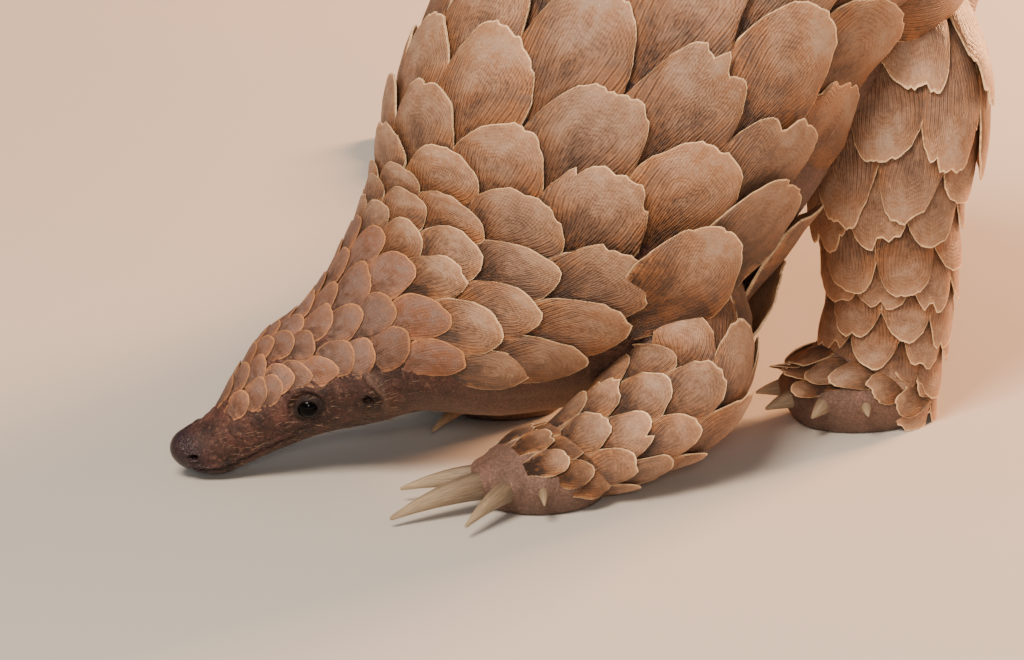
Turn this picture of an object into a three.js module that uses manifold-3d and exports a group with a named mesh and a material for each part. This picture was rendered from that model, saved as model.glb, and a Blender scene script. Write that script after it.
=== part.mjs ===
import * as THREE from "three";
import { mergeVertices } from "three/addons/utils/BufferGeometryUtils.js";
import Module from "manifold-3d";

// A ground pangolin at life size, standing with its head down to drink.
// Millimetres, +Z up. Its nose points to -X, its left side to -Y, and its tail swings round to +Y.
// The flesh is swept along one spine, and horn scales stand on it in rings set half a step apart.

const wasm = await Module();
wasm.setup();

// Clearance that touching pieces keep between them.
const gap = 0.3;

// Stations of the body from nose to tail tip: the centre, then the pitch and yaw of the section in
// degrees, then its half width and its height over and under the centre, all to the scale tips.
// scales: angle from the spine where they stop, angle between two in a ring, and the step from ring
// to ring as a share of the width between two.
const bodyStations = [
  { name: "nose", centre: [-124, 39, 11.4], turn: [30, -20], size: [8, 8, 8], scales: [-30, 25, 0.8] },
  { name: "lip", centre: [-113, 36, 13], turn: [30, -20], size: [12, 12, 12], scales: [-15, 25, 0.8] },
  { name: "muzzle", centre: [-104, 33, 18.3], turn: [30, -20], size: [14, 14, 14], scales: [26, 25, 0.8] },
  { name: "bridge", centre: [-92, 28.6, 28], turn: [31, -20], size: [19.5, 20, 19], scales: [62, 25, 0.74] },
  { name: "eyes", centre: [-79, 24, 37.7], turn: [31, -20], size: [25, 26, 24], scales: [79, 25, 0.68] },
  { name: "ears", centre: [-60, 16, 47.4], turn: [31, -18], size: [33, 31, 30], scales: [91, 26, 0.6] },
  { name: "nape", centre: [-49, 10, 58], turn: [27, -14], size: [38, 36, 36], scales: [104, 28, 0.57] },
  { name: "neck", centre: [-41, 6, 63], turn: [26, -10], size: [43, 43, 43], scales: [106, 29, 0.55] },
  { name: "breast", centre: [-22, 2, 66], turn: [30, -5], size: [57, 58, 52], scales: [108, 30, 0.53] },
  { name: "shoulder", centre: [22, 0, 82], turn: [51, 0], size: [82, 82, 76], scales: [113, 32, 0.5] },
  { name: "chest", centre: [40, 0, 112], turn: [59, 2], size: [92, 86, 80], scales: [116, 33, 0.48] },
  { name: "thorax", centre: [62, 0, 145], turn: [57, 5], size: [98, 88, 84], scales: [118, 34, 0.47] },
  { name: "back", centre: [102, 8, 191], turn: [36, 10], size: [97, 88, 82], scales: [119, 34, 0.46] },
  { name: "loin", centre: [144, 22, 209], turn: [12, 22], size: [92, 85, 76], scales: [119, 34, 0.46] },
  { name: "hip", centre: [180, 48, 203], turn: [-13, 36], size: [84, 80, 74], scales: [119, 36, 0.45] },
  { name: "rump", centre: [210, 94, 172], turn: [-34, 54], size: [76, 60, 56], scales: [128, 44, 0.4] },
  { name: "tail_root", centre: [230, 148, 126], turn: [-40, 68], size: [67, 40, 34], scales: [180, 56, 0.34] },
  { name: "tail_broad", centre: [243, 208, 79], turn: [-34, 77], size: [60, 29, 25], scales: [180, 60, 0.34] },
  { name: "tail_bend", centre: [251, 280, 36], turn: [-20, 84], size: [53, 21, 18], scales: [180, 60, 0.36] },
  { name: "tail_flat", centre: [253, 362, 14.5], turn: [-8, 92], size: [44, 15, 14], scales: [180, 60, 0.4] },
  { name: "tail_narrow", centre: [247, 438, 10], turn: [-3, 96], size: [30, 11, 10], scales: [180, 60, 0.5] },
  { name: "tail_end", centre: [240, 498, 6], turn: [-2, 98], size: [9, 6, 6], scales: [180, 60, 0.9] },
];

// Scales: their length and the space between two rings count in steps of the real rings. The rest
// is a share of the scale's own length.
const scale = {
  steps: 2.3,
  apart: 2,
  width: 0.94,
  rise: 0.13,
  sunk: 0.05,
  thick: 0.045,
  taper: 0.5,
  vary: 0.06,
  large: 36,
  keep: 0.5,
};
const thinnest = 0.9;
const thickest = 2.6;
// Edges shorter than this are closed up once the pieces are joined.
const sliver = 0.03;

// Outlines of a scale, as a share of its width and length, from the root round the tip.
const outlines = {
  large: [[-0.4, 0], [0.4, 0], [0.5, 0.52], [0.2, 0.98], [-0.2, 0.98], [-0.5, 0.52]],
  small: [[-0.42, 0], [0.42, 0], [0.5, 0.6], [0, 1], [-0.5, 0.6]],
};
const tipCorner = 3;

// The same three numbers for the limbs.
const limbScales = [112, 50, 0.62];
// The skin lies inside the outline by this share of the half width, and by nothing where it is bare.
const relief = { share: 0.075, fade: 15 };

// Where the body is parted, as places between two stations, and how finely each length is rounded.
const bodyParts = [
  { name: "head", from: "nose", to: "nape", around: 20, pace: 10 },
  { name: "neck", from: "nape", to: "shoulder", around: 18, pace: 20 },
  { name: "torso_front", from: "shoulder", to: "back", around: 18, pace: 34 },
  { name: "torso_rear", from: "back", to: "rump", around: 18, pace: 34 },
  { name: "tail_base", from: "rump", to: "tail_bend", around: 14, pace: 36 },
  { name: "tail_middle", from: "tail_bend", to: "tail_narrow", around: 14, pace: 36 },
  { name: "tail_tip", from: "tail_narrow", to: "tail_end", around: 12, pace: 20 },
];

// Limbs: stations from the trunk to the foot, each with a centre, a half width and a half depth. Their
// scales point down, or back up the limb with tipsUp.
const limbs = [
  {
    name: "foreleg_left",
    out: [0.35, -0.9, 0.1],
    tipsUp: true,
    stations: [
      { centre: [50, -28, 84], size: [34, 34] },
      { centre: [58, -54, 60], size: [32, 32] },
      { centre: [50, -66, 41], size: [28, 30] },
      { centre: [26, -70, 28], size: [23, 25] },
      { centre: [2, -66, 17], size: [19, 19] },
    ],
    foot: { name: "forefoot_left", centre: [-10, -64, 12], size: [30, 24, 19], claws: "digging" },
  },
  {
    name: "foreleg_right",
    out: [0.35, 0.9, 0.1],
    tipsUp: true,
    stations: [
      { centre: [58, 26, 84], size: [34, 34] },
      { centre: [76, 50, 60], size: [32, 32] },
      { centre: [80, 62, 41], size: [28, 29] },
      { centre: [68, 65, 28], size: [22, 24] },
      { centre: [52, 60, 17], size: [19, 19] },
    ],
    foot: { name: "forefoot_right", centre: [44, 58, 12], size: [30, 24, 19], claws: "digging" },
  },
  {
    name: "hindleg_left",
    out: [0.5, -0.85, 0],
    stations: [
      { centre: [180, 4, 178], size: [44, 48] },
      { centre: [180, -28, 138], size: [37, 42] },
      { centre: [174, -34, 98], size: [30, 33] },
      { centre: [178, -32, 56], size: [26, 28] },
      { centre: [174, -29, 20], size: [27, 27] },
    ],
    foot: { name: "hindfoot_left", centre: [167, -28, 14], size: [36, 30, 23], claws: "walking" },
  },
  {
    name: "hindleg_right",
    out: [-0.5, 0.85, 0],
    stations: [
      { centre: [148, 76, 176], size: [44, 48] },
      { centre: [136, 100, 136], size: [37, 42] },
      { centre: [134, 107, 96], size: [30, 34] },
      { centre: [136, 106, 56], size: [26, 28] },
      { centre: [128, 104, 20], size: [27, 27] },
    ],
    foot: { name: "hindfoot_right", centre: [121, 102, 14], size: [36, 30, 23], claws: "walking" },
  },
];

// Claws of a foot: bearing from straight ahead in degrees, length along the curve and root radius.
const clawSets = {
  digging: [
    { bearing: 62, length: 15, radius: 3.2 },
    { bearing: 30, length: 38, radius: 5.4 },
    { bearing: 0, length: 48, radius: 6.6 },
    { bearing: -30, length: 36, radius: 5.2 },
    { bearing: -62, length: 14, radius: 3 },
  ],
  walking: [
    { bearing: 64, length: 13, radius: 4 },
    { bearing: 32, length: 17, radius: 5 },
    { bearing: 0, length: 19, radius: 5.4 },
    { bearing: -32, length: 17, radius: 5 },
    { bearing: -64, length: 12, radius: 3.8 },
  ],
};
const clawNames = ["inner", "second", "middle", "fourth", "outer"];

// Head: places as arc length from the nose and angle from the top of the head.
const eye = { s: 55.5, angle: 102, radius: 5, sunk: 3.2, lidTube: 1.5 };
const ear = { s: 79, angle: 110, long: 11, wide: 6.5, deep: 4 };
const mouth = { from: 3, to: 46, angle: 128, step: 8, radius: 0.8, lift: 0.7, lip: 1.9, lipSunk: 1 };
const nostril = { s: 2, angle: 62, radius: 1.7 };

const horn = { color: 0x8a6a52, roughness: 0.55, metalness: 0 };
const hide = { color: 0x5b4338, roughness: 0.6, metalness: 0 };
const clawHorn = { color: 0x9a8468, roughness: 0.45, metalness: 0 };
const eyeDark = { color: 0x0d0a09, roughness: 0.08, metalness: 0 };

const rad = THREE.MathUtils.degToRad;

// Places of the numbers in a row of a sweep, after its centre, half width and two heights.
const [PITCH, YAW, EDGE, STEP, PACE] = [6, 7, 8, 9, 10];

// A body or limb as one swept form. Its sections are flat ellipses with their own top and underside.
class Sweep {
  constructor(rows, frameOf, samples = 400) {
    const chord = [0];
    for (let i = 1; i < rows.length; i++) {
      chord.push(chord[i - 1] + Math.hypot(...[0, 1, 2].map((k) => rows[i][k] - rows[i - 1][k])));
    }
    this.rows = [];
    for (let i = 0; i < samples; i++) {
      this.rows.push(hermite(chord, rows, (chord.at(-1) * i) / (samples - 1)));
    }
    this.s = [0];
    for (let i = 1; i < samples; i++) {
      const step = [0, 1, 2].map((k) => this.rows[i][k] - this.rows[i - 1][k]);
      this.s.push(this.s[i - 1] + Math.hypot(...step));
    }
    this.length = this.s.at(-1);
    this.frames = this.rows.map((row, i) => frameOf(row, i, this.rows));
    this.knots = chord.map((c) => this.s[Math.round((c / chord.at(-1)) * (samples - 1))]);
  }

  // Centre, directions and sizes of the section at one place along the sweep.
  at(s) {
    const place = THREE.MathUtils.clamp(s, 0, this.length);
    let i = 0;
    let j = this.s.length - 1;
    while (j - i > 1) {
      const mid = (i + j) >> 1;
      if (this.s[mid] > place) j = mid;
      else i = mid;
    }
    const t = (place - this.s[i]) / (this.s[j] - this.s[i]);
    const row = this.rows[i].map((v, k) => v + (this.rows[j][k] - v) * t);
    const [along, side, up] = [0, 1, 2].map((k) =>
      this.frames[i][k].clone().lerp(this.frames[j][k], t).normalize(),
    );
    return { centre: new THREE.Vector3(row[0], row[1], row[2]), along, side, up, row };
  }

  // How far the skin lies inside the outline at one angle from the spine.
  reliefAt(row, angle) {
    const turned = Math.abs(Math.atan2(Math.sin(angle), Math.cos(angle)));
    const share = (rad(row[EDGE] + relief.fade) - turned) / rad(relief.fade);
    return relief.share * row[3] * THREE.MathUtils.clamp(share, 0, 1);
  }

  // A place on the skin, or lifted off it.
  point(s, angle, lift = 0) {
    const { centre, side, up, row } = this.at(s);
    const c = Math.cos(angle);
    const off = lift - this.reliefAt(row, angle);
    return centre
      .addScaledVector(side, (row[3] + off) * Math.sin(angle))
      .addScaledVector(up, ((c > 0 ? row[4] : row[5]) + off) * c);
  }

  normal(s, angle) {
    const across = this.point(s, angle + 0.02).sub(this.point(s, angle - 0.02));
    const along = this.point(s + 1, angle).sub(this.point(s - 1, angle));
    return across.cross(along).normalize();
  }

  // One length of the form, closed by flat faces, or by a dome at an end that is free.
  geometry(from, to, around, pace, { grow = 0, domeStart = 0, domeEnd = 0 } = {}) {
    const rings = Math.max(2, Math.round((to - from) / pace) + 1);
    const shape = new THREE.SphereGeometry(1, around, rings + 1);
    const position = shape.attributes.position;
    for (let j = 0; j <= rings + 1; j++) {
      const s = from + ((to - from) * THREE.MathUtils.clamp(j - 1, 0, rings - 1)) / (rings - 1);
      for (let i = 0; i <= around; i++) {
        const p = this.point(s, (-2 * Math.PI * (i % around)) / around, grow);
        if (j === 0 || j === rings + 1) {
          const { centre, along } = this.at(s);
          p.copy(centre).addScaledVector(along, j ? domeEnd + grow : -domeStart - grow);
        } else if (grow) {
          p.addScaledVector(this.at(s).along, j === 1 ? -grow : j === rings ? grow : 0);
        }
        position.setXYZ(j * (around + 1) + i, p.x, p.y, p.z);
      }
    }
    return shape;
  }
}

// Smooth curve through rows of numbers at uneven places.
function hermite(places, rows, at) {
  let k = 0;
  while (k < places.length - 2 && places[k + 1] < at) k++;
  const slope = (i) => {
    const a = Math.max(i - 1, 0);
    const b = Math.min(i + 1, places.length - 1);
    return rows[i].map((_, n) => (rows[b][n] - rows[a][n]) / (places[b] - places[a]));
  };
  const h = places[k + 1] - places[k];
  const t = (at - places[k]) / h;
  const before = slope(k);
  const after = slope(k + 1);
  return rows[k].map((value, n) => {
    const end = rows[k + 1][n];
    const held = (2 * t ** 3 - 3 * t ** 2 + 1) * value + (-2 * t ** 3 + 3 * t ** 2) * end;
    return held + (t ** 3 - 2 * t ** 2 + t) * h * before[n] + (t ** 3 - t ** 2) * h * after[n];
  });
}

// The body's sections are turned by named angles, so that they stay clear of each other in the arch.
function bodyFrame(row) {
  const pitch = rad(row[PITCH]);
  const yaw = rad(row[YAW]);
  const along = new THREE.Vector3(
    Math.cos(pitch) * Math.cos(yaw),
    Math.cos(pitch) * Math.sin(yaw),
    Math.sin(pitch),
  );
  const side = new THREE.Vector3(Math.sin(yaw), -Math.cos(yaw), 0);
  return [along, side, side.clone().cross(along)];
}

// A limb's sections follow its own bend, with their top turned outward.
function limbFrame(out) {
  return (row, i, rows) => {
    const a = rows[Math.max(i - 1, 0)];
    const b = rows[Math.min(i + 1, rows.length - 1)];
    const along = new THREE.Vector3(b[0] - a[0], b[1] - a[1], b[2] - a[2]).normalize();
    const side = along.clone().cross(new THREE.Vector3(...out)).normalize();
    return [along, side, side.clone().cross(along)];
  };
}

function solid(geometry) {
  const bare = new THREE.BufferGeometry().setAttribute("position", geometry.getAttribute("position"));
  if (geometry.index) bare.setIndex(geometry.index);
  const merged = mergeVertices(bare, 1e-4);
  return new wasm.Manifold(
    new wasm.Mesh({
      numProp: 3,
      vertProperties: new Float32Array(merged.attributes.position.array),
      triVerts: new Uint32Array(merged.index.array),
    }),
  );
}

function joined(solids) {
  return solids.reduce((whole, piece) => whole.add(piece));
}

// The largest closed surface of a solid, without the loose scraps that a cut leaves.
function largest(whole) {
  return whole.decompose().reduce((best, piece) => (piece.volume() > best.volume() ? piece : best));
}

const group = new THREE.Group();

function addNode(name, whole, finish) {
  const { vertProperties, triVerts } = largest(whole.asOriginal().simplify(sliver)).getMesh();
  const geometry = new THREE.BufferGeometry()
    .setAttribute("position", new THREE.BufferAttribute(vertProperties, 3))
    .setIndex(new THREE.BufferAttribute(triVerts, 1));
  geometry.computeVertexNormals();
  const mesh = new THREE.Mesh(geometry, new THREE.MeshStandardMaterial(finish));
  mesh.name = name;
  group.add(mesh);
}

const body = new Sweep(
  bodyStations.map(({ centre, size, turn, scales }) => [...centre, ...size, ...turn, ...scales]),
  bodyFrame,
);
const placeOf = (name) => body.knots[bodyStations.findIndex((station) => station.name === name)];

// Everything under the floor, which flattens the soles and the underside of the tail.
const floorBlock = solid(new THREE.BoxGeometry(2000, 2000, 200).translate(0, 0, -100));

function ellipsoid(centre, size, grow = 0, around = 12, rows = 8) {
  const shape = new THREE.SphereGeometry(1, around, rows);
  shape.scale(...size.map((half) => half + grow));
  return solid(shape.translate(...centre));
}

// A repeatable draw between -1 and 1, from a seed that counts on.
let seed = 11;
function draw() {
  seed = (seed * 1103515245 + 12345) % 2147483648;
  return (seed / 2147483648) * 2 - 1;
}

// Rings of scales along a sweep, each turned by half a step from the one before it.
function ringsOf(sweep, from, to) {
  const rings = [];
  for (let s = from, i = 0; s < to; i++) {
    const { row } = sweep.at(s);
    const step = rad(row[STEP]);
    const pitch = row[PACE] * row[3] * step;
    rings.push({ s, row, step, pitch, shift: i % 2 ? 0.5 : 0 });
    s += scale.apart * pitch;
  }
  return rings;
}

// Angles of the scales in a ring, out to the edge of the scaled skin. A ring that goes all the way
// round has one scale in the middle of the underside.
function anglesOf({ row, step, shift }) {
  const angles = [];
  for (let k = -6 + shift; k <= 6; k++) {
    const angle = k * step;
    const short = Math.PI - Math.abs(angle);
    if (Math.abs(angle) > rad(row[EDGE] + 2) || short < -step / 4) continue;
    if (short > step / 2) angles.push(angle);
    else if (short < step / 4 && angle > 0) angles.push(Math.PI);
  }
  return angles;
}

// Sizes of one scale at its place in a ring.
function scaleAt({ s, row, step, pitch }, angle, turn = 0) {
  const length = scale.steps * pitch * (1 + scale.vary * draw());
  return {
    s,
    angle: angle + 0.015 * step * draw(),
    turn,
    radius: row[3],
    width: scale.width * step * row[3] * (1 + 0.3 * scale.vary * draw()),
    length,
    thick: THREE.MathUtils.clamp(scale.thick * length, thinnest, thickest),
    rise: scale.rise * length * (1 + 3 * scale.vary * draw()),
    sunk: scale.sunk * length + 0.5,
    outline: length > scale.large ? outlines.large : outlines.small,
  };
}

// One scale: a plate alike on both faces, with its root in the flesh and its tip standing off it.
function plate(sweep, form, grow = 0) {
  const { outline } = form;
  const points = [];
  for (const face of [-1, 1]) {
    for (const [x, y] of outline) {
      const across = x * form.width + Math.sign(x) * grow;
      const ahead = y * form.length + (y > 0 ? grow : -grow);
      const height = (form.sunk + form.rise) * y - form.sunk;
      const half = (form.thick * (1 - scale.taper * y)) / 2 + grow;
      const s = form.s + ahead * Math.cos(form.turn) - across * Math.sin(form.turn);
      const aside = across * Math.cos(form.turn) + ahead * Math.sin(form.turn);
      points.push(sweep.point(s, form.angle + aside / form.radius, height + face * half));
    }
  }
  const count = outline.length;
  const index = [];
  for (let i = 0; i < count; i++) {
    const next = (i + 1) % count;
    index.push(i, next, count + next, i, count + next, count + i);
    if (i === tipCorner || next === tipCorner) continue;
    index.push(count + tipCorner, count + i, count + next, tipCorner, next, i);
  }
  return solid(new THREE.BufferGeometry().setFromPoints(points).setIndex(index));
}

// Scales that stay clear of other pieces. One that loses most of itself is left out.
function clearOf(plates, others) {
  const kept = [];
  for (const piece of plates) {
    const cut = others.reduce((rest, other) => (rest.isEmpty() ? rest : rest.subtract(other)), piece);
    if (cut.isEmpty()) continue;
    const rest = largest(cut);
    if (rest.volume() > scale.keep * piece.volume()) kept.push(rest);
  }
  return kept;
}

// Trunk, head and tail, face to face along the spine. Each length starts just before a ring.
const bodyRings = ringsOf(body, placeOf("muzzle") + 1, body.length - 8);
const partingAt = (name) => {
  if (name === "nose") return 0;
  if (name === "tail_end") return body.length;
  return bodyRings.find((ring) => ring.s >= placeOf(name)).s - gap;
};
const trunk = {};
for (const part of bodyParts) {
  const from = partingAt(part.from) + (part.from === "nose" ? 0 : gap / 2);
  const to = partingAt(part.to) - (part.to === "tail_end" ? 0 : gap / 2);
  const ends = { domeStart: part.from === "nose" ? 4 : 0, domeEnd: part.to === "tail_end" ? 8 : 0 };
  const rings = bodyRings.filter((ring) => ring.s > from && ring.s < to);
  const forms = rings.map((ring) => anglesOf(ring).map((angle) => scaleAt(ring, angle)));
  trunk[part.name] = {
    forms,
    flesh: solid(body.geometry(from, to, part.around, part.pace, ends)),
    clearance: solid(body.geometry(from, to, part.around, part.pace, { ...ends, grow: gap })),
  };
}

// Limbs: flesh first, as the scales of the trunk keep clear of it.
for (const limb of limbs) {
  limb.sweep = new Sweep(
    limb.stations.map(({ centre, size }) => [...centre, size[0], size[1], size[1], 0, 0, ...limbScales]),
    limbFrame(limb.out),
  );
  const whole = (grow) => limb.sweep.geometry(0, limb.sweep.length, 12, 26, { domeStart: 6, domeEnd: 4, grow });
  limb.flesh = solid(whole(0));
  limb.clearance = solid(whole(gap));
}

// Lengths of the body with their scales, which lie over the next length without touching it.
const overlap = 2;
const trunkSolids = {};
bodyParts.forEach((part, i) => {
  const { forms, flesh } = trunk[part.name];
  const next = bodyParts[i + 1] && trunk[bodyParts[i + 1].name];
  const free = forms.slice(0, -overlap).flat().map((form) => plate(body, form));
  const last = forms.slice(-overlap).flat().map((form) => plate(body, form));
  const nextPieces = next
    ? [next.clearance, ...next.forms.slice(0, overlap).flat().map((form) => plate(body, form, gap))]
    : [];
  const plates = [...free, ...(next ? clearOf(last, [joined(nextPieces)]) : last)];
  trunkSolids[part.name] = joined([flesh, ...clearOf(plates, limbs.map((limb) => limb.clearance))]);
});

// Limbs and feet, face to face with the trunk.
const forward = new THREE.Vector3(-1, 0, 0);
for (const limb of limbs) {
  const { foot, sweep } = limb;
  const footGrown = ellipsoid(foot.centre, foot.size, gap);
  const clear = Object.values(trunk).map((length) => length.clearance);
  const flesh = limb.flesh.subtract(joined([...clear, footGrown, floorBlock]));
  const forms = ringsOf(sweep, 6, sweep.length - 8).flatMap((ring) =>
    anglesOf(ring).map((angle) => scaleAt(ring, angle, limb.tipsUp ? Math.PI : 0)),
  );
  let blocked = joined([...Object.values(trunkSolids), footGrown, floorBlock]);
  const placed = [];
  for (const form of forms) {
    if (!plate(sweep, form, gap).subtract(flesh).intersect(blocked).isEmpty()) continue;
    placed.push(plate(sweep, form));
    blocked = blocked.add(placed.at(-1));
  }
  addNode(limb.name, joined([flesh, ...placed]), horn);
  const footSolid = ellipsoid(foot.centre, foot.size);
  addNode(foot.name, footSolid.subtract(floorBlock), hide);
  clawSets[foot.claws].forEach((claw, i) => {
    const shape = clawGeometry(foot, claw);
    const whole = solid(shape).subtract(footGrown).subtract(floorBlock);
    addNode("claw_" + foot.name + "_" + clawNames[i], whole, clawHorn);
  });
}

// A curved, tapering claw that leaves the front of its foot and bends down to the floor.
function clawGeometry(foot, claw) {
  const bearing = rad(claw.bearing);
  const heading = forward.clone().applyAxisAngle(new THREE.Vector3(0, 0, 1), bearing);
  const reach = new THREE.Vector3(heading.x * foot.size[0], heading.y * foot.size[1], 0);
  const root = new THREE.Vector3(...foot.centre).addScaledVector(reach, 0.8);
  const rows = [];
  const count = 5;
  for (let i = 0; i <= count; i++) {
    const t = i / count;
    const down = claw.length * 0.16 * t * t;
    const p = root.clone().addScaledVector(heading, claw.length * t);
    const r = claw.radius * (1 - 0.86 * t ** 1.5);
    rows.push([p.x, p.y, Math.max(p.z - down, r * 0.6), r * 0.8, r, r, 0, 0, -relief.fade]);
  }
  const sweep = new Sweep(rows, limbFrame([0, 0, 1]), 60);
  return sweep.geometry(0, sweep.length, 6, claw.length / 4, { domeStart: 0, domeEnd: 0.6 });
}

// Eyes, ears, lids, mouth and nostrils.
const sides = { left: 1, right: -1 };
function headPlace(s, angle, side, depth = 0) {
  const turn = rad(angle) * side;
  const normal = body.normal(s, turn);
  return { point: body.point(s, turn).addScaledVector(normal, -depth), normal };
}
function facing(geometry, { point, normal }, turn = 0) {
  const along = body.at(60).along;
  const across = normal.clone().cross(along).normalize();
  const lengthwise = across.clone().cross(normal).normalize();
  const basis = new THREE.Matrix4().makeBasis(lengthwise, across, normal);
  geometry.rotateZ(turn);
  return geometry.applyMatrix4(basis.setPosition(point));
}
const headCuts = [];
const headForms = [trunkSolids.head];
for (const [side, sign] of Object.entries(sides)) {
  const eyePlace = headPlace(eye.s, eye.angle, sign, eye.sunk);
  addNode("eye_" + side, ellipsoid(eyePlace.point.toArray(), Array(3).fill(eye.radius)), eyeDark);
  headCuts.push(ellipsoid(eyePlace.point.toArray(), Array(3).fill(eye.radius), gap));
  const lidPlace = headPlace(eye.s, eye.angle, sign, 0);
  headForms.push(solid(facing(new THREE.TorusGeometry(eye.radius * 0.86, eye.lidTube, 5, 12), lidPlace)));

  const cup = new THREE.LatheGeometry(
    [
      new THREE.Vector2(0, -2.5),
      new THREE.Vector2(0.7, -2.5),
      new THREE.Vector2(1, ear.deep * 0.6),
      new THREE.Vector2(0.9, ear.deep),
      new THREE.Vector2(0.68, ear.deep * 0.8),
      new THREE.Vector2(0.4, 0.8),
      new THREE.Vector2(0, 0.5),
    ],
    12,
  );
  cup.rotateX(Math.PI / 2).scale(ear.wide, ear.long, 1);
  const earPlace = headPlace(ear.s, ear.angle, sign, 0);
  addNode("ear_" + side, solid(facing(cup, earPlace)).subtract(trunk.head.clearance), hide);

  headForms.push(tube(mouthLine(sign, mouth.lipSunk), mouth.lip));
  headCuts.push(tube(mouthLine(sign, -mouth.lift), mouth.radius));
  const nostrilPlace = headPlace(nostril.s, nostril.angle, sign);
  headCuts.push(ellipsoid(nostrilPlace.point.toArray(), Array(3).fill(nostril.radius), 0, 8, 6));
}

// The mouth runs along the side of the snout: a groove between two lips.
function mouthLine(side, depth) {
  const line = [];
  for (let s = mouth.from; s <= mouth.to; s += mouth.step) {
    line.push(headPlace(s, mouth.angle, side, depth).point);
  }
  return line;
}

function tube(points, radius) {
  const section = new THREE.Shape().absarc(0, 0, radius, 0, 2 * Math.PI);
  const path = new THREE.CatmullRomCurve3(points);
  return solid(
    new THREE.ExtrudeGeometry(section, { steps: points.length, curveSegments: 2, extrudePath: path }),
  );
}

for (const part of bodyParts) {
  const whole = part.name === "head" ? joined(headForms).subtract(joined(headCuts)) : trunkSolids[part.name];
  addNode(part.name, whole.subtract(floorBlock), part.name === "head" ? hide : horn);
}

// The origin is the middle of the footprint, at floor level.
const middle = new THREE.Box3().setFromObject(group).getCenter(new THREE.Vector3());
for (const mesh of group.children) {
  mesh.geometry.translate(-middle.x, -middle.y, 0);
}

export default group;
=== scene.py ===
import math

import bpy
import numpy as np
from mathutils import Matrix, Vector


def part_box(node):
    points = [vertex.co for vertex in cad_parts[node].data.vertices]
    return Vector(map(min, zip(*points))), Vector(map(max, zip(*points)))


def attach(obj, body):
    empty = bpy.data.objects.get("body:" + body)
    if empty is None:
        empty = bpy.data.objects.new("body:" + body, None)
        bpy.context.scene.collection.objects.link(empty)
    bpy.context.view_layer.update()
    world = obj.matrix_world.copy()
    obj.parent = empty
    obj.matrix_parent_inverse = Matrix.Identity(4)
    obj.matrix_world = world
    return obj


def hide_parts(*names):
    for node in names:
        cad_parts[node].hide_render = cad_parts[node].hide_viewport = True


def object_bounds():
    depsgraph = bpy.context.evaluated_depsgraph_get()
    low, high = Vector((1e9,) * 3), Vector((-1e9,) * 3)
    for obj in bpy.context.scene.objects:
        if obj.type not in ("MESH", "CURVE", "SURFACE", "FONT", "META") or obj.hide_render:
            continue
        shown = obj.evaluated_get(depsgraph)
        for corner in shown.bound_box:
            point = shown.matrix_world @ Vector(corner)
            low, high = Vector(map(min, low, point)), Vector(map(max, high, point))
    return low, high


# A ground pangolin at life size, head down to drink, under soft studio light.
# Lengths are millimetres in the pose's own zero until a mesh is made, which is in metres.
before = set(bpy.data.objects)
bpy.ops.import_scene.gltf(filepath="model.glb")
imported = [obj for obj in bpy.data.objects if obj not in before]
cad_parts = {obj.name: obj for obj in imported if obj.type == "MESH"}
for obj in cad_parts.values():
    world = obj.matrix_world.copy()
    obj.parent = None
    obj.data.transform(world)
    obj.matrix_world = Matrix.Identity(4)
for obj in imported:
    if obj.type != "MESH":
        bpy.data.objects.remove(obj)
cadBox = [list(corner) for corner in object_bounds()]
print("frame loaded")

# Each row from nose to tail tip: centre, pitch and yaw of the section, half width, height over and
# under the centre, all to the scale tips; then how far round the scales reach in degrees, the
# degrees between two in a ring, and the step from ring to ring as a share of the width of one.
bodyLine = dict(
    nose=((-124, 39, 11.4), (30, -20), (8.6, 8.2, 10.3), (-30, 25, 0.8)),
    lip=((-113, 36, 13), (30, -20), (12, 12, 13.4), (5, 38, 0.7)),
    muzzle=((-104, 33, 18.3), (30, -20), (14.4, 14, 14.8), (52, 36, 0.7)),
    bridge=((-92, 28.6, 28), (31, -20), (19.5, 20, 19), (66, 31, 0.66)),
    eyes=((-79, 24, 37.7), (31, -20), (25, 26, 24), (69, 28, 0.62)),
    ears=((-60, 16, 47.4), (31, -18), (33, 31, 30), (85, 26, 0.6)),
    nape=((-49, 10, 58), (27, -14), (38, 36, 36), (100, 28, 0.57)),
    neck=((-41, 6, 63), (26, -10), (43, 43, 43), (120, 29, 0.55)),
    breast=((-22, 2, 66), (30, -5), (57, 58, 52), (138, 30, 0.53)),
    shoulder=((22, 0, 82), (51, 0), (82, 82, 76), (140, 32, 0.5)),
    chest=((40, 0, 112), (59, 2), (92, 86, 80), (126, 33, 0.48)),
    thorax=((62, 0, 145), (57, 5), (98, 88, 84), (118, 34, 0.47)),
    back=((102, 8, 191), (36, 10), (97, 88, 82), (119, 34, 0.46)),
    loin=((144, 22, 209), (12, 22), (92, 85, 76), (119, 34, 0.46)),
    hip=((180, 48, 203), (-13, 36), (84, 80, 74), (119, 36, 0.45)),
    rump=((210, 94, 172), (-34, 54), (76, 60, 56), (128, 44, 0.4)),
    tailRoot=((230, 148, 126), (-40, 68), (67, 40, 34), (180, 56, 0.34)),
    tailBroad=((243, 208, 79), (-34, 77), (60, 29, 25), (180, 60, 0.34)),
    tailBend=((251, 280, 36), (-20, 84), (53, 21, 18), (180, 60, 0.36)),
    tailFlat=((253, 362, 14.5), (-8, 92), (44, 15, 14), (180, 60, 0.4)),
    tailNarrow=((247, 438, 10), (-3, 96), (30, 11, 10), (180, 60, 0.5)),
    tailEnd=((240, 498, 6), (-2, 98), (9, 6, 6), (180, 60, 0.9)),
)
# How far the skin lies inside the scale tips, as a share of the half width, and over how many
# degrees beside the scales that fades out.
relief = dict(share=0.075, fade=15)

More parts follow.
